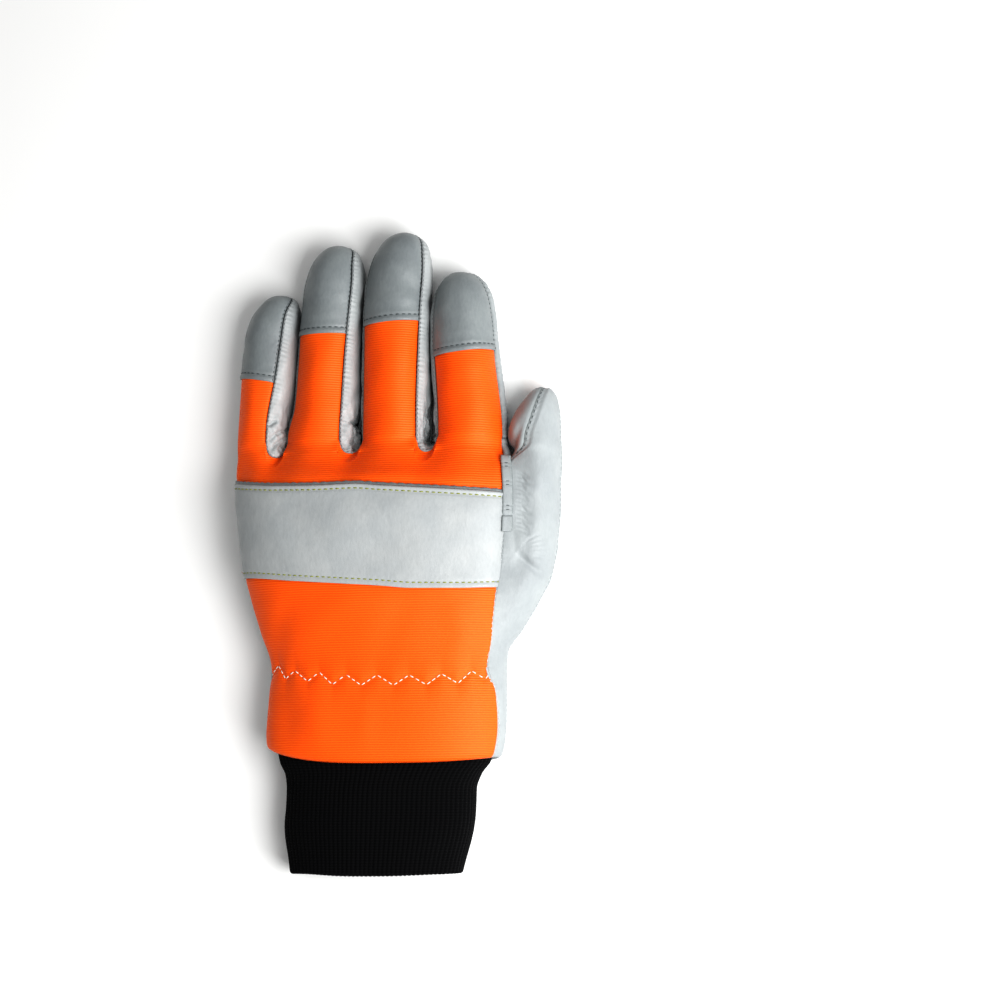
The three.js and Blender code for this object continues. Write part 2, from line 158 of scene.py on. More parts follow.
@dataclass(frozen=True)
class Section:
    """Upright cross-sections at an array of stations: a superellipse, squarer below its middle."""

    x: Array
    half: Array
    bottom: Array
    top: Array
    power: float

    @property
    def middle(self) -> Array:
        """Height at which the section is widest."""
        return self.bottom + MIDDLE * (self.top - self.bottom)

    def point(self, angle: Array) -> Array:
        """Point of the section in a direction.

        The direction's cosine and sine are divided by the power mean of their sizes, which puts the
        point on the superellipse, and are then scaled to the half width and to the height.

        Args:
            angle: direction in radians, 0 towards the thumb and a quarter turn upwards.

        Returns:
            The point's x and z, one array after the other.
        """
        c, s = np.cos(angle), np.sin(angle)
        power = np.where(s > 0, self.power, UNDER_POWER)
        radius = (np.abs(c) ** power + np.abs(s) ** power) ** (-1 / power)
        height = np.where(s > 0, self.top - self.middle, self.middle - self.bottom)
        return np.array([self.x + self.half * c * radius, self.middle + height * s * radius])

    def gauge(self, x: Array, z: Array) -> Array:
        """How far out points lie: less than 1 inside the section, 1 on it, more outside.

        Args:
            x: places across.
            z: their heights.

        Returns:
            The measure at each place.
        """
        above = z > self.middle
        height = np.where(above, self.top - self.middle, self.middle - self.bottom)
        power = np.where(above, self.power, UNDER_POWER)
        wide = np.abs((x - self.x) / self.half) ** power
        high = np.abs((z - self.middle) / height) ** power
        return (wide + high) ** (1 / power)

    def at_height(self, share: Array, side: int) -> Array:
        """Direction of the point at a share of the height.

        Args:
            share: from 0 at the bottom to 1 at the top.
            side: 1 for the side towards the thumb, -1 for the other.

        Returns:
            The direction in radians, between minus and plus a quarter turn on the thumb's side.
        """
        share = np.asarray(share, float)
        above = share > MIDDLE
        rise = np.where(above, (share - MIDDLE) / (1 - MIDDLE), (MIDDLE - share) / MIDDLE)
        rise = np.clip(rise, 0, 1)
        power = np.where(above, self.power, UNDER_POWER)
        out = (1 - rise**power) ** (1 / power)
        angle = np.arctan2(np.where(above, rise, -rise), out)
        return angle if side > 0 else math.pi - angle

    def proud(self, amount: float) -> Section:
        """The sections, wider by an amount on both sides and higher by it."""
        return Section(self.x, self.half + amount, self.bottom, self.top + amount, self.power)

    def part(self, columns: slice) -> Section:
        """The sections that belong to some columns."""
        sizes = (self.x, self.half, self.bottom, self.top)
        return Section(*(size[:, columns] for size in sizes), self.power)

    def at_width(self, share: Array, above: bool = True) -> Array:
        """Direction of the point at a share of the half width, on the top or the underside.

        Args:
            share: from -1 at the far side to 1 at the thumb's side.
            above: whether the point is on the top.

        Returns:
            The direction in radians; below, it runs from half a turn to a whole turn.
        """
        share = np.clip(np.asarray(share, float), -0.999, 0.999)
        power = self.power if above else UNDER_POWER
        rise = (1 - np.abs(share) ** power) ** (1 / power)
        if above:
            return np.arctan2(rise, share)
        return 2 * math.pi - np.arctan2(rise, share)


def stack(x: Array, y: Array, z: Array) -> Array:
    """Joins coordinates into points, after bringing them to one shape."""
    return np.stack(np.broadcast_arrays(x, y, z), axis=-1).astype(float)


# The forms that the pieces are cut from


@dataclass(frozen=True)
class Finger:
    """A finger: its tip, rounded end and cap, where its seams run, and its sections."""

    name: str
    tip: float
    dome: float
    cap_hem: float
    right_seam: float  # of the back: share of the half width right of the middle
    left_seam: float  # of the back: share of the height on the left
    rows: Table
    hem_slope: float = 0.0  # of the cap's hem: how much it rises towards the thumb
    front_seam: float = 0.3  # of the front: share of the height on both sides
    seam_drift: float = 0.0  # how far the back's right seam runs outwards up to the tip
    right_is_height: bool = False  # whether right_seam is a share of the height instead

    def section(self, y: Array, floor: float = -SAG) -> Section:
        """Sections at the given stations; the rounded end closes on a superellipse.

        Args:
            y: stations.
            floor: height of the underside.

        Returns:
            The sections.
        """
        reach = self.reach(y)
        narrow = (1 - reach**TIP_ACROSS) ** (1 / TIP_ACROSS)
        flat = (1 - reach**TIP_HIGH) ** (1 / TIP_HIGH)
        top = self.rows.at("top", y)
        middle = floor + MIDDLE * (top - floor)
        return Section(
            self.rows.at("x", y),
            self.rows.at("half", y) * narrow,
            middle - (middle - floor) * flat,
            middle + (top - middle) * flat,
            FINGER_POWER,
        )

    def reach(self, y: Array) -> Array:
        """How far a station is into the rounded end, from 0 to 1 at the tip."""
        return np.clip((y - (self.tip - self.dome)) / self.dome, 0, 1)

    def right_angle(self, y: Array) -> Array:
        """Direction of the seam right of the back, which runs down beside the tip.

        Args:
            y: stations.

        Returns:
            The direction at each.
        """
        section = self.section(y)
        if self.right_is_height:
            seam = section.at_height(self.right_seam, 1) + 0 * y
        else:
            drift = self.seam_drift * ease(y, 188, self.tip - 12)
            seam = section.at_width(self.right_seam + drift)
        return mix(seam, -0.1, self.reach(y) ** 6)

    def left_angle(self, y: Array) -> Array:
        """Direction of the seam left of the back, which runs down beside the tip."""
        seam = self.section(y).at_height(self.left_seam, -1) + 0 * y
        return mix(seam, math.pi + 0.1, self.reach(y) ** 4)

    def back_angle(self, y: Array, share: Array) -> Array:
        """Direction of a point of the back: share is 0 at its right seam, 1 at its left one."""
        return mix(self.right_angle(y), self.left_angle(y), share)

    def front_angle(self, y: Array, side: int) -> Array:
        """Direction of a seam of the front, on the thumb's side (1) or the other (-1)."""
        seam = self.section(y).at_height(self.front_seam, side) + 0 * y
        end = -0.16 if side > 0 else math.pi + 0.16
        return mix(seam, end, self.reach(y) ** 4)

    def place(self, y: Array, angle: Array, floor: float = -SAG) -> Array:
        """Points on the finger at stations and directions."""
        x, z = self.section(y, floor).point(angle)
        return stack(x, y, z)

    def hem_line(self, share: Array) -> Array:
        """Station of the cap's hem at each share of the way from the right to the left seam."""
        y = np.full(np.shape(share), self.cap_hem)
        points = self.place(y, self.back_angle(y, share))
        return self.cap_hem + self.hem_slope * (points[..., 0] - self.rows.at("x", y))

    def stations(self, start: Array, step: float) -> Array:
        """Stations from start to the tip, which draw together in the rounded end.

        Args:
            start: station of the first row, one for each column.
            step: spacing along the straight part.

        Returns:
            A grid of stations, rows by columns.
        """
        shoulder = self.tip - self.dome
        start = np.atleast_1d(start)[None, :]
        straight = max(2, int((shoulder - start.mean()) / step))
        shaft = mix(start, shoulder, np.linspace(0, 1, straight, endpoint=False)[:, None])
        turn = np.sin(np.linspace(0, math.pi / 2, max(10, int(self.dome * 1.5 / step))))
        end = (shoulder + self.dome * turn)[:, None] + 0 * start
        return np.vstack([shaft, end])


@dataclass(frozen=True)
class HandForm:
    """The sections of the hand, the fingers and the thumb, repeated from the solids."""

    body: Table = Table("y x half top seam", [
        (44, 6.6, 48.8, 30.4, 0.63), (60, 7.5, 50.8, 33, 0.62), (75, 8.3, 50.4, 33.5, 0.65),
        (87, 8.7, 50.2, 33.5, 0.72), (101, 7.2, 52.8, 35, 0.7), (114, 5.7, 55.2, 36.3, 0.68),
        (127, 4.4, 57.1, 37, 0.64), (145, 3.9, 58.8, 37.5, 0.63), (162, 3.2, 59.9, 35.5, 0.64),
        (171, 2.4, 59.7, 31.5, 0.64), (176, 1.9, 58.6, 27.5, 0.61), (178, 1.8, 57.4, 25.5, 0.61),
    ])
    little: Finger = Finger(
        "little", tip=245.4, dome=21, cap_hem=207.4, right_seam=0.36, left_seam=0.56,
        rows=Table("y x half top", [
            (150, -43.4, 11.8, 24), (183, -46.4, 11.3, 23.5), (207, -44.7, 12, 22),
            (228, -43.3, 11.8, 21), (245.4, -39.6, 11.2, 20),
        ]),
        hem_slope=-0.18, seam_drift=0.22,
    )
    ring: Finger = Finger(
        "ring", tip=265.6, dome=22, cap_hem=226.4, right_seam=0.62, left_seam=0.6,
        rows=Table("y x half top", [
            (150, -18.4, 13.8, 26), (183, -20, 15.6, 25.5), (197, -18.5, 14.1, 25),
            (228, -17.3, 13.1, 23.5), (265.6, -14.2, 12.4, 21.5),
        ]),
        seam_drift=0.14,
    )
    middle: Finger = Finger(
        "middle", tip=LENGTH, dome=26, cap_hem=230.2, right_seam=0.74, left_seam=0.64,
        rows=Table("y x half top", [
            (150, 11.6, 14.5, 27), (183, 11.8, 14.5, 26.5), (233, 11.7, 14, 24.5),
            (LENGTH, 14.6, 13.2, 22),
        ]),
        hem_slope=0.06, seam_drift=0.12,
    )
    index: Finger = Finger(
        "index", tip=252, dome=25, cap_hem=216.6, right_seam=0.56, left_seam=0.72,
        rows=Table("y x half top", [
            (150, 43.6, 14.8, 27), (183, 43.7, 14.7, 26), (220, 40.8, 13.6, 24),
            (252, 39.4, 12.8, 22),
        ]),
        hem_slope=0.1, right_is_height=True,
    )
    thumb: Finger = Finger(
        "thumb", tip=202.4, dome=22, cap_hem=202.4, right_seam=0.32, left_seam=0.5,
        rows=Table("y x half top", [
            (75, 36, 12, 24), (88, 43.2, 12.6, 24.4), (100, 50.6, 13, 24.6),
            (108, 55.6, 13, 23.8), (117, 61.4, 12.2, 23.2), (123, 65.4, 11.2, 22.8),
            (131.5, 68.4, 10.2, 22.9), (145, 71.2, 9, 23.2), (163, 72.2, 8.8, 23.2),
            (175, 71.6, 9.8, 23.2), (183, 70.2, 10.8, 22.8), (191.5, 71.6, 9.8, 22),
            (202.4, 74.4, 8.2, 20.2),
        ]),
    )
    # Thumb seam towards the fingers: how far across the thumb's top, as a share of the half width
    ulnar: Table = Table("y share", [
        (165, -0.86), (172, -0.62), (180, -0.2), (188, 0), (196, 0.05), (202.4, 0.05),
    ])
    # Fold between the palm and the ball of the thumb, as a direction below the hand's side
    fold: Table = Table("y angle", [
        (79, -17), (87, -34), (98, -53), (125, -54), (150, -49), (176, -46),
    ])

    def fingers(self) -> tuple[Finger, ...]:
        """The four fingers, from the thumb's side."""
        return self.index, self.middle, self.ring, self.little

    def section(self, y: Array, floor: Array | float = -SAG) -> Section:
        """Sections of the hand below the fingers, with the underside at a given height."""
        x, half, top = (self.body.at(name, y) for name in ("x", "half", "top"))
        return Section(x, half, floor + 0 * y, top, BODY_POWER)

    def back_angle(self, y: Array, share: Array) -> Array:
        """Direction of a point of the back between its two seams.

        Args:
            y: stations.
            share: 0 at the seam on the thumb's side, 1 at the other.

        Returns:
            The direction in radians.
        """
        section = self.section(y)
        right = section.at_height(self.body.at("seam", y), 1)
        left = section.at_height(0.5, -1)
        return mix(right, left, share)

    def back_seam(self, y: Array) -> Array:
        """The back's seam on the thumb's side, as x and z."""
        section = self.section(y)
        return section.point(section.at_height(self.body.at("seam", y), 1))

    def thumb_seam(self, y: Array) -> Array:
        """The seam between the back and the front of the thumb, on the side of the fingers.

        Up to the crotch it is the back's seam; there it leaves the hand and crosses to the thumb.

        Args:
            y: stations.

        Returns:
            The seam's x and z.
        """
        section = self.thumb.section(y)
        on_thumb = section.point(section.at_width(self.ulnar.at("share", y)))
        return mix(self.back_seam(y), on_thumb, ease(y, 168, 177))

    def back(self, y: Array, share: Array, proud: float = 0.0) -> Array:
        """Points of the back, a little proud of it if wanted."""
        x, z = self.section(y).proud(proud).point(self.back_angle(y, share))
        return stack(x, y, z)


@dataclass(frozen=True)
class Crotch:
    """The U between two neighbouring fingers."""

    right: Finger
    left: Finger
    centre: float  # station of the U's centre
    depth: float  # how far its bottom lies below the centre, at the back
    folds: tuple[tuple[tuple[float, float], ...], ...]  # creases of the strip in it, in plan

    def ends(self, share: Array) -> tuple[Array, Array]:
        """The two ends of the U at a share of the way from the front seams to the back's.

        Args:
            share: 0 at the seams of the fronts, 1 at the seams of the backs.

        Returns:
            The points on the right and on the left finger.
        """
        y = np.full(np.shape(share), self.centre)
        front = self.right.front_angle(y, -1)
        right = self.right.place(y, mix(front, self.right.left_angle(y), share))
        front = self.left.front_angle(y, 1)
        left = self.left.place(y, mix(front, self.left.right_angle(y), share))
        return right, left

    def arc(self, share: Array, turn: Array) -> Array:
        """Points of the U, a half ellipse in plan between its two ends.

        Args:
            share: 0 at the seams of the fronts, 1 at the seams of the backs.
            turn: angle from 0 at the right end to half a turn at the left end.

        Returns:
            The points, in the shape of share and turn broadcast together.
        """
        right, left = self.ends(share)
        across = (1 - np.cos(turn)) / 2
        point = mix(right, left, across[..., None])
        depth = mix(1.2, self.depth, share)
        point[..., 1] = self.centre - depth * np.sin(turn)
        point[..., 2] += 2.4 * share * np.sin(turn) ** 2
        return point

    def distance(self, x: Array, y: Array) -> Array:
        """Distance in plan from the U's edge at the back, for points below its centre."""
        right, left = self.ends(np.array([1]))
        middle = (right[0, 0] + left[0, 0]) / 2
        radius = (right[0, 0] - left[0, 0]) / 2
        down = np.maximum(self.centre - y, 0) * radius / self.depth
        return np.abs(np.hypot(x - middle, down) - radius)


# Grids of points and their relief


class Patch:
    """A grid of points with its normals, its distances along both ways, and from its seams."""

    def __init__(self, points: Array, seams: Iterable[Border] = SIDES) -> None:
        """Measures the grid.

        Args:
            points: rows by columns by xyz in millimetres, rows forwards and columns anticlockwise
                as seen from the cuff.
            seams: the borders that are sewn or hemmed.
        """
        self.points = points.copy()
        self.normal = outward(points)
        self.across = cumulative(points, 1)
        self.along = cumulative(points, 0)
        self.rib = points[..., 1].copy()
        far = 1e3
        self.seam = np.full(points.shape[:2], far)
        for border in seams:
            self.seam = np.minimum(self.seam, self.distance(border))

    def distance(self, border: Border) -> Array:
        """Distance of each point from a border, measured over the surface."""
        return {
            Border.START: self.along,
            Border.END: self.along[-1:, :] - self.along,
            Border.FIRST: self.across,
            Border.LAST: self.across[:, -1:] - self.across,
        }[border]

    def push(self, amount: Array) -> Patch:
        """Moves each point outwards by an amount in millimetres."""
        self.points = self.points + self.normal * np.asarray(amount)[..., None]
        return self

    def turn_in(self, depth: float, width: float, border: Border | None = None) -> Patch:
        """Rounds the surface down to its seams or to one border, on a quarter of an ellipse."""
        away = self.seam if border is None else self.distance(border)
        near = np.clip(1 - away / width, 0, 1)
        return self.push(-depth * (1 - np.sqrt(1 - near**2)))

    def billow(self, height: float, wavelength: float, seed: int, clear: float) -> Patch:
        """Makes the surface softly uneven, easing to even within a clear distance of its seams."""
        return self.push(height * swell(self.points, wavelength, seed) * ease(self.seam, 0, clear))

    def groove(self, distance: Array, depth: float, width: float) -> Patch:
        """Presses in a line where a distance is nought, as a bell curve across it."""
        return self.push(-depth * bell(distance / width))

    def pucker(self, border: Border, pitch: float, height: float, reach: float) -> Patch:
        """Gathers the surface beside a seam, in ripples that fade away from it.

        The ripple is a cosine of the distance along the seam, whose phase and height wander slowly,
        times a bell curve of the distance from the seam.

        Args:
            border: the seam.
            pitch: distance between two ripples.
            height: of a ripple.
            reach: how far from the seam they fade.

        Returns:
            The patch.
        """
        near = self.distance(border)
        lengthwise = border in (Border.FIRST, Border.LAST)
        run = self.along if lengthwise else self.across
        phase = 2 * math.pi * run / pitch + 1.3 * np.sin(run * 0.23 + 0.6) + 0.9 * np.sin(run * 0.61)
        strength = 0.65 + 0.35 * np.sin(run * 0.37 + 2)
        ripple = np.cos(phase + 0.25 * near) * strength * bell(near / reach)
        return self.push(height * ripple)

    def crease(self, line: Line, depth: float, width: float) -> Patch:
        """Presses in a fold along a line in plan, deepest in its middle; a negative depth raises it.

        The depth is a bell curve of the distance from the line, times a sine along the line.

        Args:
            line: the fold in plan.
            depth: in its middle.
            width: half its width, about.

        Returns:
            The patch.
        """
        nodes = np.array(line, float)
        length = np.hypot(*np.diff(nodes, axis=0).T)
        total, done = length.sum(), 0
        best = np.full(self.points.shape[:2], 1e9)
        place = np.zeros_like(best)
        plan = self.points[..., :2]
        for start, end, size in zip(nodes[:-1], nodes[1:], length):
            t = np.clip(((plan - start) @ (end - start)) / size**2, 0, 1)
            gap = np.linalg.norm(plan - start - t[..., None] * (end - start), axis=-1)
            closer = gap < best
            best = np.where(closer, gap, best)
            place = np.where(closer, (done + t * size) / total, place)
            done += size
        fade = np.sin(math.pi * np.clip(place, 0.02, 0.98)) ** 0.7
        return self.push(-depth * fade * bell(best / width))

    def contour(self, field: Array, value: float, axis: int = 0) -> tuple[Array, Array]:
        """Where a field first crosses a value: once in each column (axis 0) or in each row (1).

        Args:
            field: numbers at the grid's points.
            value: the number looked for, found between points on a straight line.
            axis: the way to search.

        Returns:
            The places as row and column numbers with fractions.
        """
        searched = np.moveaxis(field - value, axis, 0)
        crossed = (searched[:-1] <= 0) != (searched[1:] <= 0)
        other = np.nonzero(crossed.any(axis=0))[0]
        first = crossed.argmax(axis=0)[other]
        before, after = searched[first, other], searched[first + 1, other]
        place = first + before / (before - after)
        return (place, other.astype(float)) if axis == 0 else (other.astype(float), place)

    def trace(self, row: Array, column: Array) -> tuple[Array, Array]:
        """Points and normals at places between the grid's points."""
        return sample(self.points, row, column), sample(outward(self.points), row, column)

    def project(self, line: Line, step: float = 0.4) -> tuple[Array, Array]:
        """Points and normals of the surface under a line in plan.

        Each point of the line takes its height from the tangent plane of the nearest grid point
        that faces up.

        Args:
            line: the line in plan.
            step: distance between two points.

        Returns:
            The points and the normals there.
        """
        nodes = np.array(line, float)
        run = np.concatenate([[0], np.cumsum(np.hypot(*np.diff(nodes, axis=0).T))])
        place = np.arange(0, run[-1], step)
        plan = np.column_stack([np.interp(place, run, nodes[:, k]) for k in (0, 1)])
        normal = outward(self.points).reshape(-1, 3)
        points = self.points.reshape(-1, 3)
        points, normal = points[normal[:, 2] > 0.15], normal[normal[:, 2] > 0.15]
        near = np.linalg.norm(plan[:, None, :] - points[None, :, :2], axis=-1).argmin(axis=1)
        offset = plan - points[near, :2]
        fall = (normal[near, :2] * offset).sum(axis=1) / normal[near, 2]
        return np.column_stack([plan, points[near, 2] - fall]), normal[near]

    def rest(self, floor: float = 0.0) -> Patch:
        """Flattens what would lie below the table, easing into it over half a millimetre."""
        z = self.points[..., 2] - floor
        self.points[..., 2] = floor + (z + np.sqrt(z * z + 0.09)) / 2
        return self


def outward(points: Array) -> Array:
    """Unit normals of a grid: its forward step crossed with its anticlockwise step.

    Where a pole closes the grid the cross product vanishes, and the row before it is used.

    Args:
        points: rows by columns by xyz.

    Returns:
        The normals, in the same shape.
    """
    normal = np.cross(np.gradient(points, axis=0), np.gradient(points, axis=1))
    length = np.linalg.norm(normal, axis=-1, keepdims=True)
    unit = normal / np.maximum(length, 1e-9)
    if length[-1].max() < 1e-6:
        pole = unit[-2].mean(axis=0) + np.array([0, 2, 0])
        unit[-1] = pole / np.linalg.norm(pole)
    return unit


def cumulative(points: Array, axis: int) -> Array:
    """Distance run over a grid from its first row or column."""
    step = np.linalg.norm(np.diff(points, axis=axis), axis=-1)
    start = np.zeros_like(np.take(step, [0], axis=axis))
    return np.concatenate([start, np.cumsum(step, axis=axis)], axis=axis)


def respaced(run: Array, place: Array, values: Array) -> Array:
    """Values read again at other places along each row, on straight lines between the old ones."""
    return np.array([np.interp(p, r, row) for p, r, row in zip(place, run, values)])


def swell(points: Array, wavelength: float, seed: int) -> Array:
    """A soft uneven field between about -1 and 1, as a sum of sines in fixed directions.

    Args:
        points: where it is wanted, by xyz.
        wavelength: about how wide a swell is.
        seed: picks one of many such fields.

    Returns:
        The field's value at each point.
    """
    chance = np.random.default_rng(seed)
    waves = chance.normal(size=(9, 3))
    waves *= 2 * math.pi / (wavelength * np.linalg.norm(waves, axis=1, keepdims=True))
    waves *= chance.uniform(0.6, 1.6, size=(9, 1))
    phases = chance.uniform(0, 2 * math.pi, size=9)
    return np.sin(points @ waves.T + phases).sum(axis=-1) / 4.2


def sample(grid: Array, row: Array, column: Array) -> Array:
    """The values of a grid at places between its points, averaged from the four around."""
    i = np.clip(row.astype(int), 0, grid.shape[0] - 2)
    j = np.clip(column.astype(int), 0, grid.shape[1] - 2)
    deep = (...,) + (None,) * (grid.ndim - 2)
    u, v = (row - i)[deep], (column - j)[deep]
    return mix(mix(grid[i, j], grid[i, j + 1], v), mix(grid[i + 1, j], grid[i + 1, j + 1], v), u)


# Meshes


class Workshop:
    """Turns grids into objects that ride on the glove and stand for its solids."""

    def __init__(self) -> None:
        """Starts with no pieces made."""
        self.pieces: list[bpy.types.Object] = []

    def mesh(self, name: str, patches: Sequence[Patch], closed: bool = False) -> Mesh:
        """Joins patches into one mesh, merged where they share points.

        Each point carries the attribute cloth: its distance across the piece, its place along the
        ribs and its distance from the nearest seam, in millimetres.

        Args:
            name: the mesh's name.
            patches: the grids, whose rows and columns run as Patch says.
            closed: whether the last row meets the first, and the last column the first.

        Returns:
            The mesh, in metres.
        """
        points, cloth, faces, start = [], [], [], 0
        for patch in patches:
            rows, columns = patch.points.shape[:2]
            index = start + np.arange(rows * columns).reshape(rows, columns)
            if closed:
                index = np.pad(index, ((0, 1), (0, 1)), mode="wrap")
            quads = [index[:-1, :-1], index[1:, :-1], index[1:, 1:], index[:-1, 1:]]
            faces.append(np.stack(quads, axis=-1).reshape(-1, 4))
            points.append(patch.points.reshape(-1, 3))
            measure = [patch.across - patch.across[:, -1:] / 2, patch.rib, patch.seam]
            cloth.append(np.stack(measure, axis=-1).reshape(-1, 3))
            start += rows * columns
        mesh = mesh_from(name, np.vstack(points), np.vstack(faces))
        attribute = mesh.attributes.new("cloth", "FLOAT_VECTOR", "POINT")
        attribute.data.foreach_set("vector", np.vstack(cloth).astype(np.float32).ravel())
        close_up(mesh)
        return mesh

    def add(
        self, mesh: Mesh, finish: Material, slot: str, nodes: Sequence[str] = (),
        wall: float = 0.0, rim: Material | None = None,
    ) -> None:
        """Makes an object of a mesh and dresses it.

        Args:
            mesh: the piece's mesh, in metres.
            finish: the material of its faces.
            slot: a name for the pieces that share a finish; not used.
            nodes: the solids that the piece stands for.
            wall: its thickness in millimetres, inwards from the mesh; 0 leaves it as it is.
            rim: the material of its cut edges.
        """
        piece = bpy.data.objects.new(mesh.name, mesh)
        bpy.context.scene.collection.objects.link(piece)
        mesh.materials.append(finish)
        if wall > 0:
            solid = piece.modifiers.new("wall", "SOLIDIFY")
            solid.thickness = wall * METRE
            solid.offset = -1
            if rim is not None:
                mesh.materials.append(rim)
                solid.material_offset_rim = 1
        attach(piece, "root")
        if nodes:
            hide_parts(*nodes)
        self.pieces.append(piece)
        log.info("%s: %d faces", piece.name, len(mesh.polygons))


def mesh_from(name: str, points: Array, faces: Array) -> Mesh:
    """A mesh of equal polygons.

    Args:
        name: the mesh's name.
        points: points by xyz, in drawing millimetres.
        faces: polygons by corners, all with as many corners.

    Returns:
        The mesh, in metres in the row's frame.
    """
    mesh = bpy.data.meshes.new(name)
    count, corners = faces.shape
    mesh.vertices.add(len(points))
    placed = (points - ORIGIN) * METRE
    mesh.vertices.foreach_set("co", placed.astype(np.float32).ravel())
    mesh.loops.add(count * corners)
    mesh.loops.foreach_set("vertex_index", faces.astype(np.int32).ravel())
    mesh.polygons.add(count)
    mesh.polygons.foreach_set("loop_start", np.arange(0, count * corners, corners, dtype=np.int32))
    mesh.update(calc_edges=True)
    mesh.validate()
    return mesh


def tubes(centres: Array, normals: Array, radii: Array, sides: int = 6) -> tuple[Array, Array]:
    """Closed tubes along short lines.

    Args:
        centres: tubes by points by xyz.
        normals: a direction away from the surface at each point.
        radii: the radius at each point along a tube, nought at both ends.
        sides: corners of a tube's cross-section.

    Returns:
        Points and faces, all tubes together.
    """
    ahead = np.gradient(centres, axis=1)
    ahead /= np.maximum(np.linalg.norm(ahead, axis=-1, keepdims=True), 1e-9)
    side = np.cross(ahead, normals)
    side /= np.maximum(np.linalg.norm(side, axis=-1, keepdims=True), 1e-9)
    rise = np.cross(side, ahead)
    turn = (np.arange(sides) / sides * 2 * math.pi)[None, None, :, None]
    ring = np.cos(turn) * side[:, :, None] + np.sin(turn) * rise[:, :, None]
    points = centres[:, :, None] + radii[None, :, None, None] * ring
    index = np.arange(points.size // 3).reshape(points.shape[:3])
    round_to = np.roll(index, -1, axis=2)
    quads = [index[:, :-1], index[:, 1:], round_to[:, 1:], round_to[:, :-1]]
    return points.reshape(-1, 3), np.stack(quads, axis=-1).reshape(-1, 4)


# A stitch along its length: places from 0 to 1, how far it rises there, and how thick it is
BAR_PLACES = np.array([0.0, 0.06, 0.22, 0.5, 0.78, 0.94, 1.0])
BAR_RISE = np.array([-1.3, -0.7, 0.2, 0.5, 0.2, -0.7, -1.3])
BAR_SIZE = np.array([0.0, 0.75, 1.0, 1.0, 1.0, 0.75, 0.0])


@dataclass(frozen=True)
class Thread:
    """How a row is sewn: each stitch is a short bar that dips into the leather at both ends."""

    length: float = 1.9
    gap: float = 0.8
    radius: float = 0.22
    lift: float = 0.06

    def bars(self, points: Array, normals: Array) -> tuple[Array, Array]:
        """Centre lines and normals of the stitches along a seam.

        Args:
            points: the seam's line.
            normals: the surface's normals along it.

        Returns:
            Stitches by seven points by xyz, and their normals.
        """
        run = np.concatenate([[0], np.cumsum(np.linalg.norm(np.diff(points, axis=0), axis=1))])
        count = max(1, int(run[-1] / (self.length + self.gap)))
        starts = run[-1] / count * np.arange(count)[:, None] + self.gap / 2
        place = starts + self.length * BAR_PLACES
        centres = np.stack([np.interp(place, run, points[:, k]) for k in range(3)], axis=-1)
        facing = np.stack([np.interp(place, run, normals[:, k]) for k in range(3)], axis=-1)
        facing /= np.linalg.norm(facing, axis=-1, keepdims=True)
        rise = self.lift + self.radius * BAR_RISE
        return centres + facing * rise[None, :, None], facing


class Sewing:
    """Gathers rows of stitches of one thread into one piece."""

    def __init__(self, name: str, thread: Thread) -> None:
        """Starts with no stitches."""
        self.name = name
        self.thread = thread
        self.points: list[Array] = []
        self.faces: list[Array] = []
        self.count = 0

    def row(self, points: Array, normals: Array) -> None:
        """Sews along a line on a surface."""
        centres, facing = self.thread.bars(points, normals)
        self.add(*tubes(centres, facing, self.thread.radius * BAR_SIZE))

    def add(self, points: Array, faces: Array) -> None:
        """Takes in the points and faces of some tubes."""
        self.points.append(points)
        self.faces.append(faces + self.count)
        self.count += len(points)

    def build(self, shop: Workshop, finish: Material, slot: str) -> None:
        """Makes the piece."""
        mesh = mesh_from(self.name, np.vstack(self.points), np.vstack(self.faces))
        close_up(mesh)
        shop.add(mesh, finish, slot)


@dataclass(frozen=True)
class Frays:
    """Loose ends of thread along a cut edge of cloth, each a short bent hair."""

    seed: int
    count: int = 30
    longest: float = 2.4
    radius: float = 0.075

    def scatter(self, points: Array, normals: Array, away: Array) -> tuple[Array, Array]:
        """Points and faces of the hairs along an edge.

        Args:
            points: the edge's line.
            normals: the surface's normals along it.
            away: the direction that the hairs mostly point in.

        Returns:
            Points and faces.
        """
        chance = np.random.default_rng(self.seed)
        start = chance.integers(0, len(points), self.count)
        aim = away + chance.normal(0, 0.55, (self.count, 3)) + 0.25 * normals[start]
        aim /= np.linalg.norm(aim, axis=1, keepdims=True)
        bend = np.cross(normals[start], aim) * chance.normal(0, 0.5, (self.count, 1))
        length = self.longest * chance.uniform(0.2, 1, (self.count, 1, 1)) ** 1.6
        t = np.linspace(0, 1, 6)[None, :, None]
        centres = points[start][:, None] + length * (t * aim[:, None] + t * t * bend[:, None])
        centres += normals[start][:, None] * (0.12 + 0.2 * t)
        facing = np.repeat(normals[start][:, None], 6, axis=1)
        size = self.radius * np.array([0, 1, 1, 1, 0.7, 0])
        return tubes(centres, facing, size, 4)


def close_up(mesh: Mesh) -> None:
    """Merges points that lie together, drops faces without a size and shades the mesh smooth.

    Args:
        mesh: the mesh, changed in place.
    """
    shape = bmesh.new()
    shape.from_mesh(mesh)
    bmesh.ops.remove_doubles(shape, verts=shape.verts, dist=2e-6)
    bmesh.ops.dissolve_degenerate(shape, edges=shape.edges, dist=1e-7)
    shape.to_mesh(mesh)
    shape.free()
    mesh.shade_smooth()


# Finishes


def linear(colour: str) -> tuple[float, float, float, float]:
    """A hex sRGB colour as linear red, green, blue and alpha."""
    channels = [int(colour[k : k + 2], 16) / 255 for k in (1, 3, 5)]
    light = [c / 12.92 if c <= 0.04045 else ((c + 0.055) / 1.055) ** 2.4 for c in channels]
    return light[0], light[1], light[2], 1


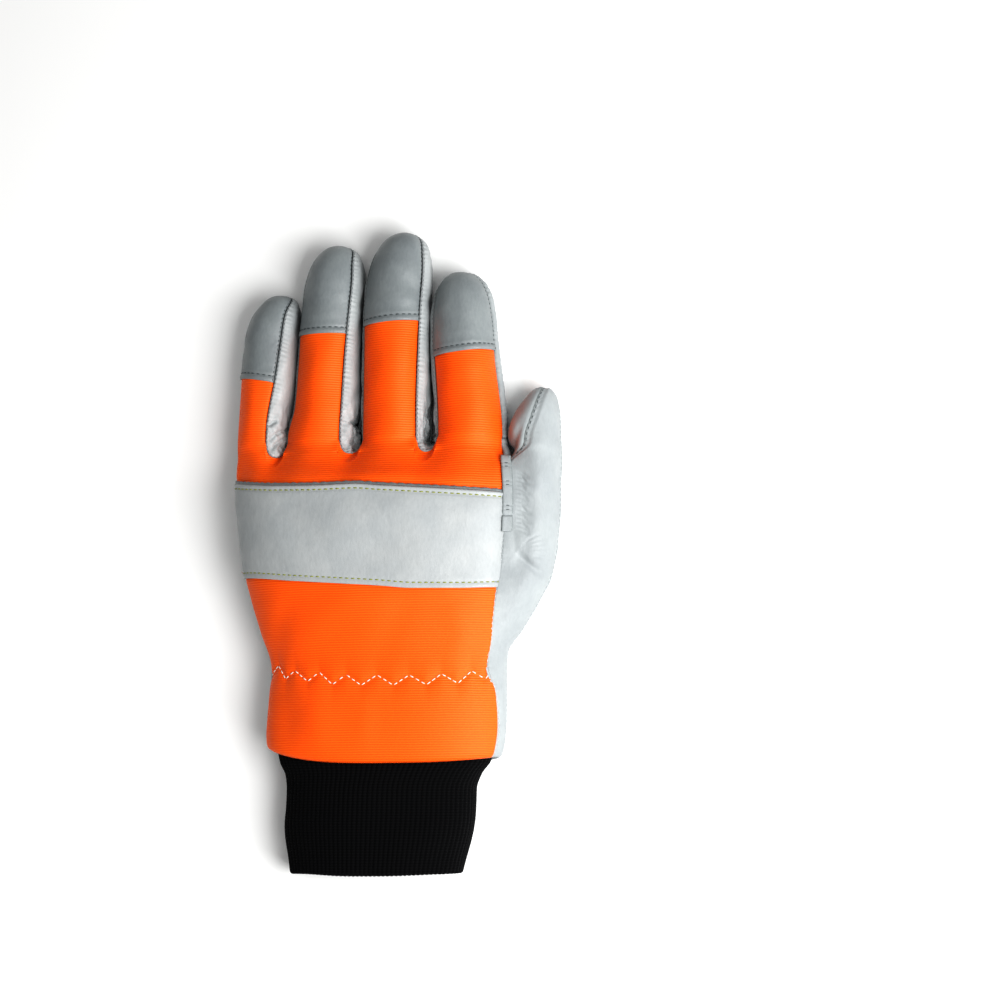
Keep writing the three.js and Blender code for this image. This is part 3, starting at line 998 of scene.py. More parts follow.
class Finish:
    """A material under construction: its tree, its shader and the places that patterns read."""

    def __init__(self, name: str, **sockets: object) -> None:
        """Makes the shader and sets what is the same all over it.

        Args:
            name: the real material.
            **sockets: shader sockets, with underscores for spaces.
        """
        self.material = bpy.data.materials.new(name)
        self.material.use_nodes = True
        self.tree = self.material.node_tree
        self.tree.nodes.clear()
        values = {key.replace("_", " "): value for key, value in sockets.items()}
        self.shader = self.node("BsdfPrincipled", values)
        output = self.node("OutputMaterial")
        self.tree.links.new(self.shader.outputs["BSDF"], output.inputs["Surface"])
        self.place = self.node("TexCoord").outputs["Object"]
        cloth = self.node("Attribute", attribute_name="cloth")
        split = self.node("SeparateXYZ", {0: cloth.outputs["Vector"]})
        self.across, self.rib, self.seam = split.outputs

    def node(self, kind: str, inputs: dict | None = None, **settings: object) -> bpy.types.Node:
        """Adds a node.

        Args:
            kind: the node's type, without ShaderNode.
            inputs: for each socket's name or number, its value or the socket that feeds it.
            **settings: the node's own properties.

        Returns:
            The node.
        """
        node = self.tree.nodes.new("ShaderNode" + kind)
        for name, value in settings.items():
            setattr(node, name, value)
        for name, value in (inputs or {}).items():
            if isinstance(value, Socket):
                self.tree.links.new(value, node.inputs[name])
            else:
                node.inputs[name].default_value = value
        return node

    def noise(
        self, size: float, detail: float = 2.0, stretch: Sequence[float] = (1, 1, 1)
    ) -> Socket:
        """Cloudy noise.

        Args:
            size: about how wide a cloud is, in millimetres.
            detail: how many finer layers lie over it.
            stretch: how much closer the clouds stand along each axis.

        Returns:
            The noise, from 0 to 1.
        """
        scale = [1000 / size * s for s in stretch]
        spread = self.node("Mapping", {"Vector": self.place, "Scale": scale})
        inputs = {"Vector": spread.outputs[0], "Scale": 1, "Detail": detail, "Roughness": 0.55}
        return self.node("TexNoise", inputs).outputs["Fac"]

    def cells(self, size: float) -> Socket:
        """Distance from the edges of pebbled cells about a size in millimetres across."""
        inputs = {"Vector": self.place, "Scale": 1000 / size, "Randomness": 1}
        voronoi = self.node("TexVoronoi", inputs, feature="DISTANCE_TO_EDGE")
        return voronoi.outputs["Distance"]

    def ramp(
        self, value: Socket, low: float, high: float, start: float = 0.0, end: float = 1.0
    ) -> Socket:
        """Maps a range of values, low to high, to another one, start to end, held to its ends."""
        inputs = {"Value": value, 1: low, 2: high, 3: start, 4: end}
        return self.node("MapRange", inputs).outputs[0]

    def blend(self, share: Socket, a: Socket | Sequence[float], b: Socket | Sequence[float]) -> Socket:
        """Mixes two colours, from a to b by a share from 0 to 1."""
        node = self.node("Mix", {0: share, 6: a, 7: b}, data_type="RGBA")
        return node.outputs[2]

    def math(self, operation: str, a: Socket, b: Socket | float = 0.0) -> Socket:
        """A sum, product or other operation on two numbers."""
        return self.node("Math", {0: a, 1: b}, operation=operation).outputs[0]

    def bump(self, height: Socket, depth: float, under: Socket | None = None) -> Socket:
        """A normal that is roughened by a height.

        Args:
            height: from 0 to 1.
            depth: how high 1 is, in millimetres.
            under: the normal that it is laid over.

        Returns:
            The normal.
        """
        inputs = {"Height": height, "Distance": depth * METRE, "Strength": 1}
        if under is not None:
            inputs["Normal"] = under
        return self.node("Bump", inputs).outputs[0]

    def wear(
        self, colour: Socket, roughness: Socket | None = None, normal: Socket | None = None
    ) -> Material:
        """Feeds the shader with what varies over the surface.

        Args:
            colour: the base colour.
            roughness: from 0 to 1, if it varies.
            normal: the roughened normal.

        Returns:
            The finished material.
        """
        for name, socket in (("Base Color", colour), ("Roughness", roughness), ("Normal", normal)):
            if socket is not None:
                self.tree.links.new(socket, self.shader.inputs[name])
        return self.material


@dataclass(frozen=True)
class GrainLeather:
    """Smooth goat leather: finely pebbled, softly mottled, a little darker where it is sewn: part dirt,
    part painted shade in the seams.
    """

    name: str
    light: str
    dark: str
    # colour of the pores, and of the darkening near the seams: part dirt, part painted shade
    seam: str
    grain: float = 0.75  # width of a pebble in millimetres
    depth: float = 0.035
    roughness: float = 0.5
    shine: float = 0.42

    def build(self) -> Material:
        """The leather's material.

        Returns:
            The material.
        """
        finish = Finish(self.name, Specular_IOR_Level=self.shine)
        mottle = finish.ramp(finish.noise(16, 4), 0.36, 0.66)
        tanned = finish.blend(mottle, linear(self.dark), linear(self.light))
        pores = finish.ramp(finish.noise(0.9, 3, (1, 0.4, 1)), 0.4, 0.75, 0, 0.13)
        skin = finish.blend(pores, tanned, linear(self.seam))
        # part dirt, part painted shade: within 1.1 mm of a seam the colour darkens towards the seam
        # colour, by up to 0.6
        sewn = finish.ramp(finish.seam, 0, 1.1, 0.6, 0)
        colour = finish.blend(sewn, skin, linear(self.seam))
        pebbles = finish.ramp(finish.cells(self.grain), 0, 0.35)
        grained = finish.bump(pebbles, self.depth)
        creased = finish.bump(finish.noise(2.4, 3, (1, 0.55, 1)), 0.16, grained)
        low, high = self.roughness - 0.07, self.roughness + 0.1
        dull = finish.ramp(finish.noise(5, 3), 0.3, 0.7, low, high)
        return finish.wear(colour, dull, creased)


@dataclass(frozen=True)
class RibbedCloth:
    """High-visibility stretch cloth: fine ribs across the hand, filled with knitted loops, with painted
    shade in the hollows between them.
    """

    name: str
    # colours of the crests, and of the painted shade in the hollows between ribs and loops
    light: str
    dark: str
    pitch: float = 1.0  # of the ribs, in millimetres

    def build(self) -> Material:
        """The cloth's material.

        Returns:
            The material.
        """
        shine = {"Specular_IOR_Level": 0.9, "Specular_Tint": linear("#ffd2ae")}
        finish = Finish(self.name, Roughness=0.6, **shine)
        drift = finish.ramp(finish.noise(26, 2), 0, 1, -0.5, 0.5)
        run = finish.math("ADD", finish.rib, drift)
        wave = finish.math("SINE", finish.math("MULTIPLY", run, 2 * math.pi / self.pitch))
        ribs = finish.ramp(wave, -1, 1)
        fuzz = finish.noise(0.5, 2)
        # painted shade: the colour follows the relief of ribs and loops, lighter on their crests and
        # darker in their hollows
        rib_painted_light = finish.math("MULTIPLY", ribs, 0.7)
        loop_painted_light = finish.math("MULTIPLY", fuzz, 0.6)
        painted_relief_shading = finish.ramp(finish.math("ADD", rib_painted_light, loop_painted_light), 0.15, 1.15)
        colour = finish.blend(painted_relief_shading, linear(self.dark), linear(self.light))
        raised = finish.bump(ribs, 0.1)
        normal = finish.bump(fuzz, 0.05, raised)
        return finish.wear(colour, None, normal)


@dataclass(frozen=True)
class RibKnit:
    """Black rib knit of crimped polyester: matt, with rows of small loops and painted shade between
    them.
    """

    name: str
    # colours of the loops' crests, and of the painted shade between them
    light: str
    dark: str
    row: float = 1.15  # height of a row of loops, in millimetres

    def build(self) -> Material:
        """The knit's material.

        Returns:
            The material.
        """
        sheen = {"Sheen_Weight": 0.12, "Sheen_Roughness": 0.6, "Sheen_Tint": linear("#55585c")}
        finish = Finish(self.name, Specular_IOR_Level=0.18, Roughness=0.92, **sheen)
        wave = finish.math("SINE", finish.math("MULTIPLY", finish.rib, 2 * math.pi / self.row))
        rows = finish.ramp(wave, -1, 1)
        fuzz = finish.noise(0.45, 2)
        # painted shade: darker between the rows of loops and in the hollows of the fuzz, where the
        # relief is low
        painted_relief_shading = finish.math("MULTIPLY", rows, fuzz)
        colour = finish.blend(painted_relief_shading, linear(self.dark), linear(self.light))
        normal = finish.bump(fuzz, 0.12, finish.bump(rows, 0.18))
        return finish.wear(colour, None, normal)


@dataclass(frozen=True)
class SewingThread:
    """Twisted polyester thread, with a soft shine."""

    name: str
    colour: str

    def build(self) -> Material:
        """The thread's material."""
        finish = Finish(self.name, Specular_IOR_Level=0.4, Roughness=0.55)
        twist = finish.noise(0.35, 1)
        shade = finish.ramp(twist, 0.3, 0.7, 0, 0.35)
        colour = finish.blend(shade, linear(self.colour), linear("#101010"))
        return finish.wear(colour, None, finish.bump(twist, 0.08))


class Finishes:
    """Every material of the glove, made once."""

    def __init__(self) -> None:
        """Builds the materials."""
        self.pale = GrainLeather("pale_goat_leather", "#a3a8a9", "#9a9fa1", "#747b7a").build()
        self.inner = GrainLeather("goat_leather_strips", "#b4b8b8", "#a4a8a9", "#65696b").build()
        self.cap = GrainLeather(
            "grey_goat_leather", "#888e8f", "#7d8385", "#4b5153",
            grain=0.6, depth=0.03, roughness=0.46, shine=0.75,
        ).build()
        self.band = GrainLeather(
            "coated_split_leather", "#b0b3b3", "#a7abac", "#7e8383",
            grain=0.45, depth=0.022, roughness=0.42,
        ).build()
        self.edge = GrainLeather(
            "cut_leather_edge", "#7f898c", "#5f696d", "#4b5356",
            grain=0.5, depth=0.06, roughness=0.75,
        ).build()
        self.cloth = RibbedCloth("stretch_cloth_orange", "#ff6b02", "#f95200").build()
        self.knit = RibKnit("rib_knit_black", "#101012", "#040405").build()
        self.grey = SewingThread("thread_grey", "#565d5f").build()
        self.pale_thread = SewingThread("thread_pale", "#cdd3d2").build()
        self.lime = SewingThread("thread_lime", "#9da148").build()
        self.white = SewingThread("thread_white", "#f4ece4").build()
        self.orange = SewingThread("thread_orange", "#e2713a").build()


# Pieces


HAND = HandForm()
CROTCHES = (
    Crotch(
        HAND.index, HAND.middle, centre=182, depth=6.4,
        folds=(
            ((26, 196), (25.8, 185.4), (25.7, 182.4), (24.4, 180.3), (23, 178.5)),
            ((25.8, 186), (27.2, 183.8), (30.5, 181.6)),
            ((25.8, 183.4), (26.3, 178)),
            ((25.6, 180.4), (30.2, 178.8)),
        ),
    ),
    Crotch(
        HAND.middle, HAND.ring, centre=181.3, depth=5.6,
        folds=(
            ((-4.4, 197), (-4.8, 188), (-5, 183), (-6.2, 180), (-7.6, 177.6)),
            ((-6.9, 187.9), (-4.9, 190.3)),
        ),
    ),
    Crotch(
        HAND.ring, HAND.little, centre=181, depth=6.4,
        folds=(
            ((-34.9, 188), (-36.5, 186), (-38.7, 184.4), (-41.2, 181.6)),
            ((-35.7, 184), (-37.1, 181.8), (-38.6, 180.4), (-40.4, 177.4)),
            ((-36.1, 182.2), (-36.9, 178.7), (-36.9, 176.6)),
            ((-41.9, 187.8), (-37.6, 190.6)),
        ),
    ),
)
# Edges of the band across the hand, over x
BAND_LOW = Table(
    "x y",
    [
        (-60, 125.6), (-50, 125.2), (-28, 123), (-8, 121.4), (10, 120.1), (24, 118.9),
        (42, 118.8), (62, 119.6),
    ],
)
BAND_HIGH = Table(
    "x y",
    [
        (-60, 164.7), (-48, 162.6), (-35, 161.4), (-15, 160.8), (-1, 161), (10, 160.1),
        (42, 158), (62, 157),
    ],
)


def band_edge(edge: Table, further: float = 0.0) -> Edge:
    """An edge of the band, or a line that lies some millimetres further towards the fingers."""
    return lambda x: edge.at("y", x) + further


def hem_edge(x: Array) -> Array:
    """Station of the glove's hem, which rises to both sides as a cube of the distance."""
    share = np.abs((x - 7.2) / 52)
    rise = np.where(x > 7.2, 2.6, 7)
    return np.minimum(46 + rise * share**3, 60)


def between(low: Edge, high: Edge, rows: int, share: Array, proud: float = 0.0) -> Array:
    """Points of the hand's back between two edges that are given over x.

    A column keeps its share of the way between the back's seams, and its rows are spaced evenly
    between the edges, which are looked up where the column is.

    Args:
        low: station of the near edge over x.
        high: station of the far edge over x.
        rows: number of rows.
        share: each column's share of the way round the back.
        proud: how far the surface stands out.

    Returns:
        The grid's points.
    """
    t = np.linspace(0, 1, rows)[:, None]
    y = np.full((rows, len(share)), 100.0)
    for _ in range(3):
        x = HAND.back(y, share[None, :])[..., 0]
        y = mix(low(x), high(x), t)
    return HAND.back(y, share[None, :], proud)


# Corners of the zigzag seam across the lower cloth, in plan
ZIGZAG = (
    (-40, 83), (-39, 84.2), (-36.1, 87.1), (-32.3, 81.4), (-27.7, 84.7), (-21.7, 80.1),
    (-16.5, 83.8), (-10.6, 78.6), (-4.7, 82.6), (1.8, 78.1), (8.5, 82.3), (15.4, 78),
    (22, 82.1), (29.1, 78.1), (35.2, 82.5), (41.7, 78.6), (47, 83.7), (52.2, 80.4),
    (53.8, 83.1),
)


@dataclass(frozen=True)
class BackCloth:
    """The orange back: an upper piece that runs on into four fingers, and a lower piece."""

    finger_columns: int = 32
    crotch_columns: int = 15
    rows: int = 52
    wall: float = 1.0

    def root(self) -> tuple[Array, list[slice]]:
        """The edge where the fingers leave the hand's back, a point for each of its columns.

        Returns:
            The points, and the columns of each finger.
        """
        share = np.linspace(0, 1, self.finger_columns)
        turn = np.linspace(0, math.pi, self.crotch_columns)[1:-1]
        parts, slices, start = [], [], 0
        for k, finger in enumerate(HAND.fingers()):
            right = CROTCHES[max(0, k - 1)].centre
            left = CROTCHES[min(k, len(CROTCHES) - 1)].centre
            y = mix(right, left, share)
            parts.append(finger.place(y, finger.back_angle(y, share)))
            slices.append(slice(start, start + len(share)))
            start += len(share) + len(turn)
            if k < len(CROTCHES):
                parts.append(CROTCHES[k].arc(np.ones_like(turn), turn))
        return np.concatenate(parts), slices

    def rooted(self, y: Array, root: Array, share: Array) -> Array:
        """Points of the hand's back at a grid of stations, which ease into the root's."""
        weight = ease(y - root[:, 1], -15, 0)[..., None]
        points = mix(HAND.back(y, share[None, :]), root, weight)
        points[..., 1] = y
        return points

    def smooth_height(self, root: Array, share: Array, x: Array, y: Array) -> Array:
        """Height of the hand's back below the fingers, without the ridges that run down from them.

        The height is read on an even raster in plan, averaged along both axes under a bell curve,
        and read again where it is asked for.

        Args:
            root: the edge where the fingers leave the back.
            share: each column's share of the way round the back.
            x: where the height is asked for.
            y: the stations of those places.

        Returns:
            The heights, in the shape of x.
        """
        step, width = 0.5, 4
        stations = np.arange(148, 186, step)
        run = np.arange(-66, 68, step)
        rows = self.rooted(stations[:, None] + 0 * share, root, share)
        height = np.array([np.interp(run, row[::-1, 0], row[::-1, 2]) for row in rows])
        for axis in (stations, run):
            weight = np.exp(-0.5 * ((axis[:, None] - axis) / width) ** 2)
            height = (weight / weight.sum(axis=1, keepdims=True) @ height).T
        return sample(height, (y - stations[0]) / step, (x - run[0]) / step)

    def upper(self) -> list[Patch]:
        """Grids of the upper piece: the back of the hand first, then one for each finger.

        Returns:
            The grids, ready to be joined into one mesh.
        """
        root, slices = self.root()
        x_root, y_root = root[:, 0], root[:, 1]
        even = np.linspace(0, 1, 400)
        outline = cumulative(HAND.back(np.full_like(even, 176), even), 0)
        run = cumulative(root * [1, 0, 1], 0)
        share = np.interp(run / run[-1], outline / outline[-1], even)
        t = np.linspace(0, 1, self.rows)[:, None]
        y = mix(band_edge(BAND_HIGH, -1)(x_root)[None, :], y_root[None, :], t)
        points = self.rooted(y, root, share)
        level = ease(y_root[None, :] - y, 0, 5) * ease(np.minimum(share, 1 - share), 0.03, 0.13)
        smooth = self.smooth_height(root, share, points[..., 0], y)
        points[..., 2] = mix(points[..., 2], smooth, level)
        hand = Patch(points)
        for crotch in CROTCHES:
            hand.seam = np.minimum(hand.seam, crotch.distance(points[..., 0], points[..., 1]))
        near = hand.distance(Border.START)
        hand.push(-0.55 * ease(4.5 - near, 0, 4.5))
        hand.crease([(-54, 172), (-20, 170), (20, 169.5), (54, 167)], 0.35, 4)
        hand.crease([(-16, 165), (16, 164.5), (50, 162)], -0.3, 2.6)
        own = zip(slices, HAND.fingers())
        fingers = [self.finger(finger, y_root[columns]) for columns, finger in own]
        for patch in (hand, *fingers):
            patch.turn_in(0.5, 1.2)
            patch.billow(0.35, 26, 3, 6)
        known = np.concatenate([np.arange(columns.start, columns.stop) for columns in slices])
        gap = np.concatenate([patch.points[0] for patch in fingers]) - hand.points[-1, known]
        every = np.arange(hand.points.shape[1])
        gap = np.column_stack([np.interp(every, known, component) for component in gap.T])
        hand.points += gap[None] * ease(t, 0.78, 1)[..., None]
        spread = 0.06 * every[None, :-3]  # keeps each column left of the one before
        inner = hand.points[:-1, :-3]
        inner[..., 0] = np.minimum.accumulate(inner[..., 0] + spread, axis=1) - spread
        nine = [inner[-12:, start : start + inner.shape[1] - 8, 2] for start in range(9)]
        inner[-12:, 4:-4, 2] = np.mean(nine, axis=0)
        return [hand, *fingers]

    def finger(self, finger: Finger, start: Array) -> Patch:
        """Grid of the cloth on a finger, from its root to just under its cap.

        Args:
            finger: the finger.
            start: station of the root, one for each column.

        Returns:
            The grid.
        """
        share = np.linspace(0, 1, self.finger_columns)
        end = finger.hem_line(share) + 0.9
        count = max(24, int((end.mean() - start.mean()) / 0.9))
        y = mix(start[None, :], end[None, :], np.linspace(0, 1, count)[:, None])
        points = finger.place(y, finger.back_angle(y, share[None, :]))
        patch = Patch(points)
        shaft = ease(patch.along, 0, 14) * ease(patch.distance(Border.END), 1, 9)
        ridge = bell((share[None, :] - 0.4) / 0.2)
        return patch.push((0.6 * ridge - 0.15) * shaft - 0.15)

    def lower(self) -> Patch:
        """Grid of the lower piece, cinched by the zigzag and turned in at the hem.

        Returns:
            The grid.
        """
        share = np.linspace(0, 1, 130)
        points = between(hem_edge, band_edge(BAND_LOW, 1), 110, share)
        patch = Patch(points)
        band = patch.distance(Border.END)
        patch.turn_in(1.6, 3.2, Border.START)
        patch.turn_in(0.5, 1.2)
        patch.push(-0.5 * ease(4 - band, 0, 4))
        away = ease(patch.seam, 0, 10) * ease(band, 2, 10)
        patch.push(0.6 * swell(patch.points * [1, 0.6, 1], 42, 11) * away)
        patch.crease([(5, 120), (-12, 108), (-27, 94), (-30, 84)], -0.6, 7)
        patch.crease([(-24, 119), (-34, 104), (-37, 88)], 0.5, 5)
        patch.crease([(24, 118), (15, 101), (8, 84)], 0.4, 6)
        patch.crease([(-28, 82), (-18, 72), (-17, 50)], -0.6, 6)
        patch.crease([(-34, 78), (-31, 66), (-31, 50)], 0.5, 5)
        patch.crease([(2, 80), (4, 66), (2, 50)], -0.4, 5)
        patch.crease([(40, 112), (44, 98), (38, 84)], -0.4, 5)
        waist = patch.points[..., 1] - np.interp(patch.points[..., 0], *np.array(ZIGZAG).T)
        return patch.groove(waist, 0.45, 1.5).groove(waist, 0.5, 5)

    def build(self, shop: Workshop, finishes: Finishes) -> None:
        """Makes both pieces, the zigzag seam and the frayed edges beside the band.

        Args:
            shop: makes the pieces.
            finishes: the materials.
        """
        slot = "back_cloth"
        upper = self.upper()
        mesh = shop.mesh("back_cloth_upper", upper)
        shop.add(mesh, finishes.cloth, slot, ["back_upper"], self.wall)
        lower = self.lower()
        mesh = shop.mesh("back_cloth_lower", [lower])
        shop.add(mesh, finishes.cloth, slot, ["back_lower"], self.wall)
        zigzag = Sewing("zigzag_stitches", Thread(1.75, 0.55, 0.25, 0.1))
        for corner, following in zip(ZIGZAG[:-1], ZIGZAG[1:]):
            zigzag.row(*lower.project([corner, following]))
        zigzag.build(shop, finishes.white, slot)
        frays = Sewing("frayed_threads", Thread())
        rows = np.array([lower.points.shape[0] - 2.2, 1.6])
        for k, (patch, row) in enumerate(zip((lower, upper[0]), rows)):
            column = np.linspace(3, patch.points.shape[1] - 4, 300)
            points, normals = patch.trace(np.full(300, row), column)
            away = np.array([0, -1 if k == 0 else 1, 0.1])
            frays.add(*Frays(17 + k, 34 - 8 * k).scatter(points, normals, away))
        frays.build(shop, finishes.orange, slot)


@dataclass(frozen=True)
class KnuckleBand:
    """The bare leather band across the knuckles, on a backing that shows along its far edge."""

    proud: float = 0.95
    wall: float = 0.9
    lip: float = 2.0  # height of the folded lip along the far edge
    margin: float = 2.3  # from the near edge to its row of stitches
    lap: float = 1.4  # of its near edge over the cloth
    backing_lap: tuple[float, float] = (0.9, 1.2)  # of the backing, at the near and the far edge
    backing_wall: float = 0.4
    columns: int = 144

    def surface(self) -> Patch:
        """Grid of the band, with its folded lip and the lines pressed in by its stitches.

        Returns:
            The grid.
        """
        share = np.linspace(0, 1, self.columns)
        points = between(band_edge(BAND_LOW, -self.lap), band_edge(BAND_HIGH), 72, share, 0.15)
        patch = Patch(points)
        near, far = patch.distance(Border.START), patch.distance(Border.END)
        ends = patch.seam.copy()
        patch.push(self.proud * (0.25 + 0.75 * ease(ends, 0, 6)))
        patch.turn_in(0.7, 1.2)
        patch.groove(near - self.margin, 0.35, 0.5)
        patch.groove(far - self.lip, 0.4, 0.5)
        lip = np.clip(far / self.lip, 0, 1)
        patch.push(0.35 * np.sqrt(np.clip(1 - (2 * lip - 1) ** 2, 0, 1)))
        inner = ease(np.minimum(near, far), 0, 8) * ease(ends, 0, 8)
        patch.push(0.4 * swell(patch.points, 30, 21) * inner)
        patch.push(0.04 * swell(patch.points, 9, 22) * inner)
        sewn = np.minimum(np.abs(near - self.margin), np.abs(far - self.lip))
        patch.seam = np.minimum(ends, sewn + 1.3)
        return patch

    def backing(self) -> Patch:
        """Grid of the backing, a little larger than the band along its far edge.

        Returns:
            The grid.
        """
        share = np.linspace(0, 1, self.columns)
        low, high = band_edge(BAND_LOW, -self.backing_lap[0]), band_edge(BAND_HIGH, self.backing_lap[1])
        points = between(low, high, 48, share, 0.1)
        patch = Patch(points)
        edge = np.minimum(patch.distance(Border.START), patch.distance(Border.END))
        patch.push(0.15 + 0.35 * ease(patch.seam, 0, 5) - 1.1 * ease(edge, 3, 6))
        patch.turn_in(0.6, 1.2)
        run = patch.across[0] * 0.9
        ragged = 0.14 * np.sin(run * 2.3) + 0.12 * np.sin(run * 5.1 + 1)
        patch.points[0, :, 1] += ragged
        patch.points[-1, :, 1] += ragged[::-1]
        return patch

    def build(self, shop: Workshop, finishes: Finishes) -> None:
        """Makes the band, its backing and its two rows of stitches.

        Args:
            shop: makes the pieces.
            finishes: the materials.
        """
        slot = "band_leather"
        band = self.surface()
        mesh = shop.mesh("band_across_knuckles", [band])
        shop.add(mesh, finishes.band, slot, ["knuckle_band"], self.wall, finishes.edge)
        mesh = shop.mesh("band_backing", [self.backing()])
        shop.add(mesh, finishes.cap, slot, [], self.backing_wall)
        stitches = Sewing("band_stitches", Thread(1.65, 0.85, 0.21, 0.05))
        stitches.row(*band.trace(*band.contour(band.distance(Border.START), self.margin)))
        far = band.distance(Border.END)
        stitches.row(*band.trace(*band.contour(-far, -self.lip)))
        stitches.build(shop, finishes.lime, slot)


@dataclass(frozen=True)
class FingerCaps:
    """The four grey leather caps, hemmed over the cloth with a row of stitches."""

    proud: float = 0.5
    hem: float = 2.6  # from the edge to the stitches
    wall: float = 1.2
    columns: int = 48

    def surface(self, finger: Finger) -> Patch:
        """Grid of one cap.

        Args:
            finger: the finger it covers.

        Returns:
            The grid.
        """
        share = np.linspace(0, 1, self.columns)
        y = finger.stations(finger.hem_line(share), 0.6)
        points = finger.place(y, finger.back_angle(y, share[None, :]))
        patch = Patch(points)
        hem = patch.distance(Border.START)
        patch.turn_in(0.75, 1.6)
        patch.push(self.proud * ease(14 - hem, 0, 10))
        patch.groove(hem - self.hem, 0.38, 0.5)
        patch.push(0.22 * bell((hem - self.hem / 2) / 0.9))
        patch.billow(0.3, 15, 5, 5)
        patch.push(-0.3 * bell((hem - 5.5) / 2.6))
        patch.pucker(Border.FIRST, 2.1, 0.1, 2)
        # near the hem's stitches this also darkens the leather a little: part dirt, part painted shade
        patch.seam = np.minimum(patch.seam, np.abs(hem - self.hem) + 0.9)
        return patch

    def build(self, shop: Workshop, finishes: Finishes) -> None:
        """Makes the caps and their stitches.

        Args:
            shop: makes the pieces.
            finishes: the materials.
        """
        slot = "cap_leather"
        stitches = Sewing("cap_stitches", Thread(1.5, 0.9, 0.19, 0.08))
        seams = Sewing("cap_seam_stitches", Thread(1, 0.9, 0.13, 0.05))
        for finger in HAND.fingers():
            cap = self.surface(finger)
            mesh = shop.mesh(f"cap_of_{finger.name}", [cap])
            shop.add(mesh, finishes.cap, slot, [f"cap_{finger.name}"], self.wall, finishes.edge)
            row, column = cap.contour(cap.distance(Border.START), self.hem)
            stitches.row(*cap.trace(row[2:-2], column[2:-2]))
            row, column = cap.contour(cap.distance(Border.FIRST), 0.85, 1)
            kept = row < cap.points.shape[0] - 9
            seams.row(*cap.trace(row[kept], column[kept]))
        stitches.build(shop, finishes.grey, slot)
        seams.build(shop, finishes.grey, slot)


@dataclass(frozen=True)
class SideStrips:
    """The strips between the fingers, each up one finger's side, round the U and up the next."""

    columns: int = 36
    wall: float = 1.1
    step: float = 0.42

    def side(self, finger: Finger, centre: float, way: int) -> Array:
        """Points up a finger's side, from the U's centre to the tip.

        Args:
            finger: the finger.
            centre: station of the U's centre.
            way: 1 for the side towards the thumb, -1 for the other.

        Returns:
            The points, from the back's seam to the front's along a row.
        """
        y = finger.stations(np.full(self.columns, centre), self.step)
        back = finger.right_angle(y) if way > 0 else finger.left_angle(y)
        share = np.linspace(1, 0, self.columns)[None, :]
        return finger.place(y, mix(finger.front_angle(y, way), back, share))

    def surface(self, crotch: Crotch) -> Patch:
        """Grid of one strip, from the tip of the left finger round to the tip of the right.

        Args:
            crotch: the crotch it runs through.

        Returns:
            The grid.
        """
        up_left = self.side(crotch.left, crotch.centre, 1)[::-1]
        up_right = self.side(crotch.right, crotch.centre, -1)
        turn = np.linspace(math.pi, 0, 30)[1:-1, None]
        share = np.linspace(1, 0, self.columns)[None, :]
        bend = crotch.arc(share + 0 * turn, turn + 0 * share)
        points = np.concatenate([up_left, bend, up_right])
        patch = Patch(points)
        patch.turn_in(0.5, 1.3)
        ends = np.minimum(patch.distance(Border.START), patch.distance(Border.END))
        belly = bell((patch.distance(Border.FIRST) - 4) / 3.2)
        patch.push(0.8 * belly * ease(ends, 0, 16))
        patch.pucker(Border.FIRST, 1.9, 0.2, 3)
        patch.pucker(Border.LAST, 2.1, 0.14, 2.5)
        away = np.abs(points[..., 1] - crotch.centre - 3)
        inside = ease(patch.seam, 0, 2.5)
        near = ease(20 - away, 0, 16) * inside
        patch.push(-1.1 * near * np.abs(swell(points * [1, 0.7, 0.8], 9, 31)))
        patch.push(0.3 * near * swell(points * [1.4, 0.6, 1], 3.4, 35))
        patch.push(0.25 * swell(points, 11, 33) * ease(patch.seam, 0, 4))
        for line in crotch.folds:
            patch.crease(line, 1.5, 0.6)
        return patch.rest()

    def build(self, shop: Workshop, finishes: Finishes) -> None:
        """Makes the three strips and the stitches along their upper seams.

        Args:
            shop: makes the pieces.
            finishes: the materials.
        """
        stitches = Sewing("strip_stitches", Thread(0.9, 1, 0.09, 0.02))
        for crotch in CROTCHES:
            names = f"{crotch.left.name}_{crotch.right.name}"
            strip = self.surface(crotch)
            mesh = shop.mesh(f"strip_{names}", [strip])
            shop.add(mesh, finishes.inner, "side_leather", [f"side_strip_{names}"], self.wall)
            row, column = strip.contour(strip.distance(Border.FIRST), 0.55, 1)
            kept = (row > 12) & (row < strip.points.shape[0] - 12)
            stitches.row(*strip.trace(row[kept], column[kept]))
        stitches.build(shop, finishes.grey, "side_leather")


STITCH_ROWS = (154.2, 156.0, 163.6, 165.4, 171.4, 173.2)  # stations of the patch's seams


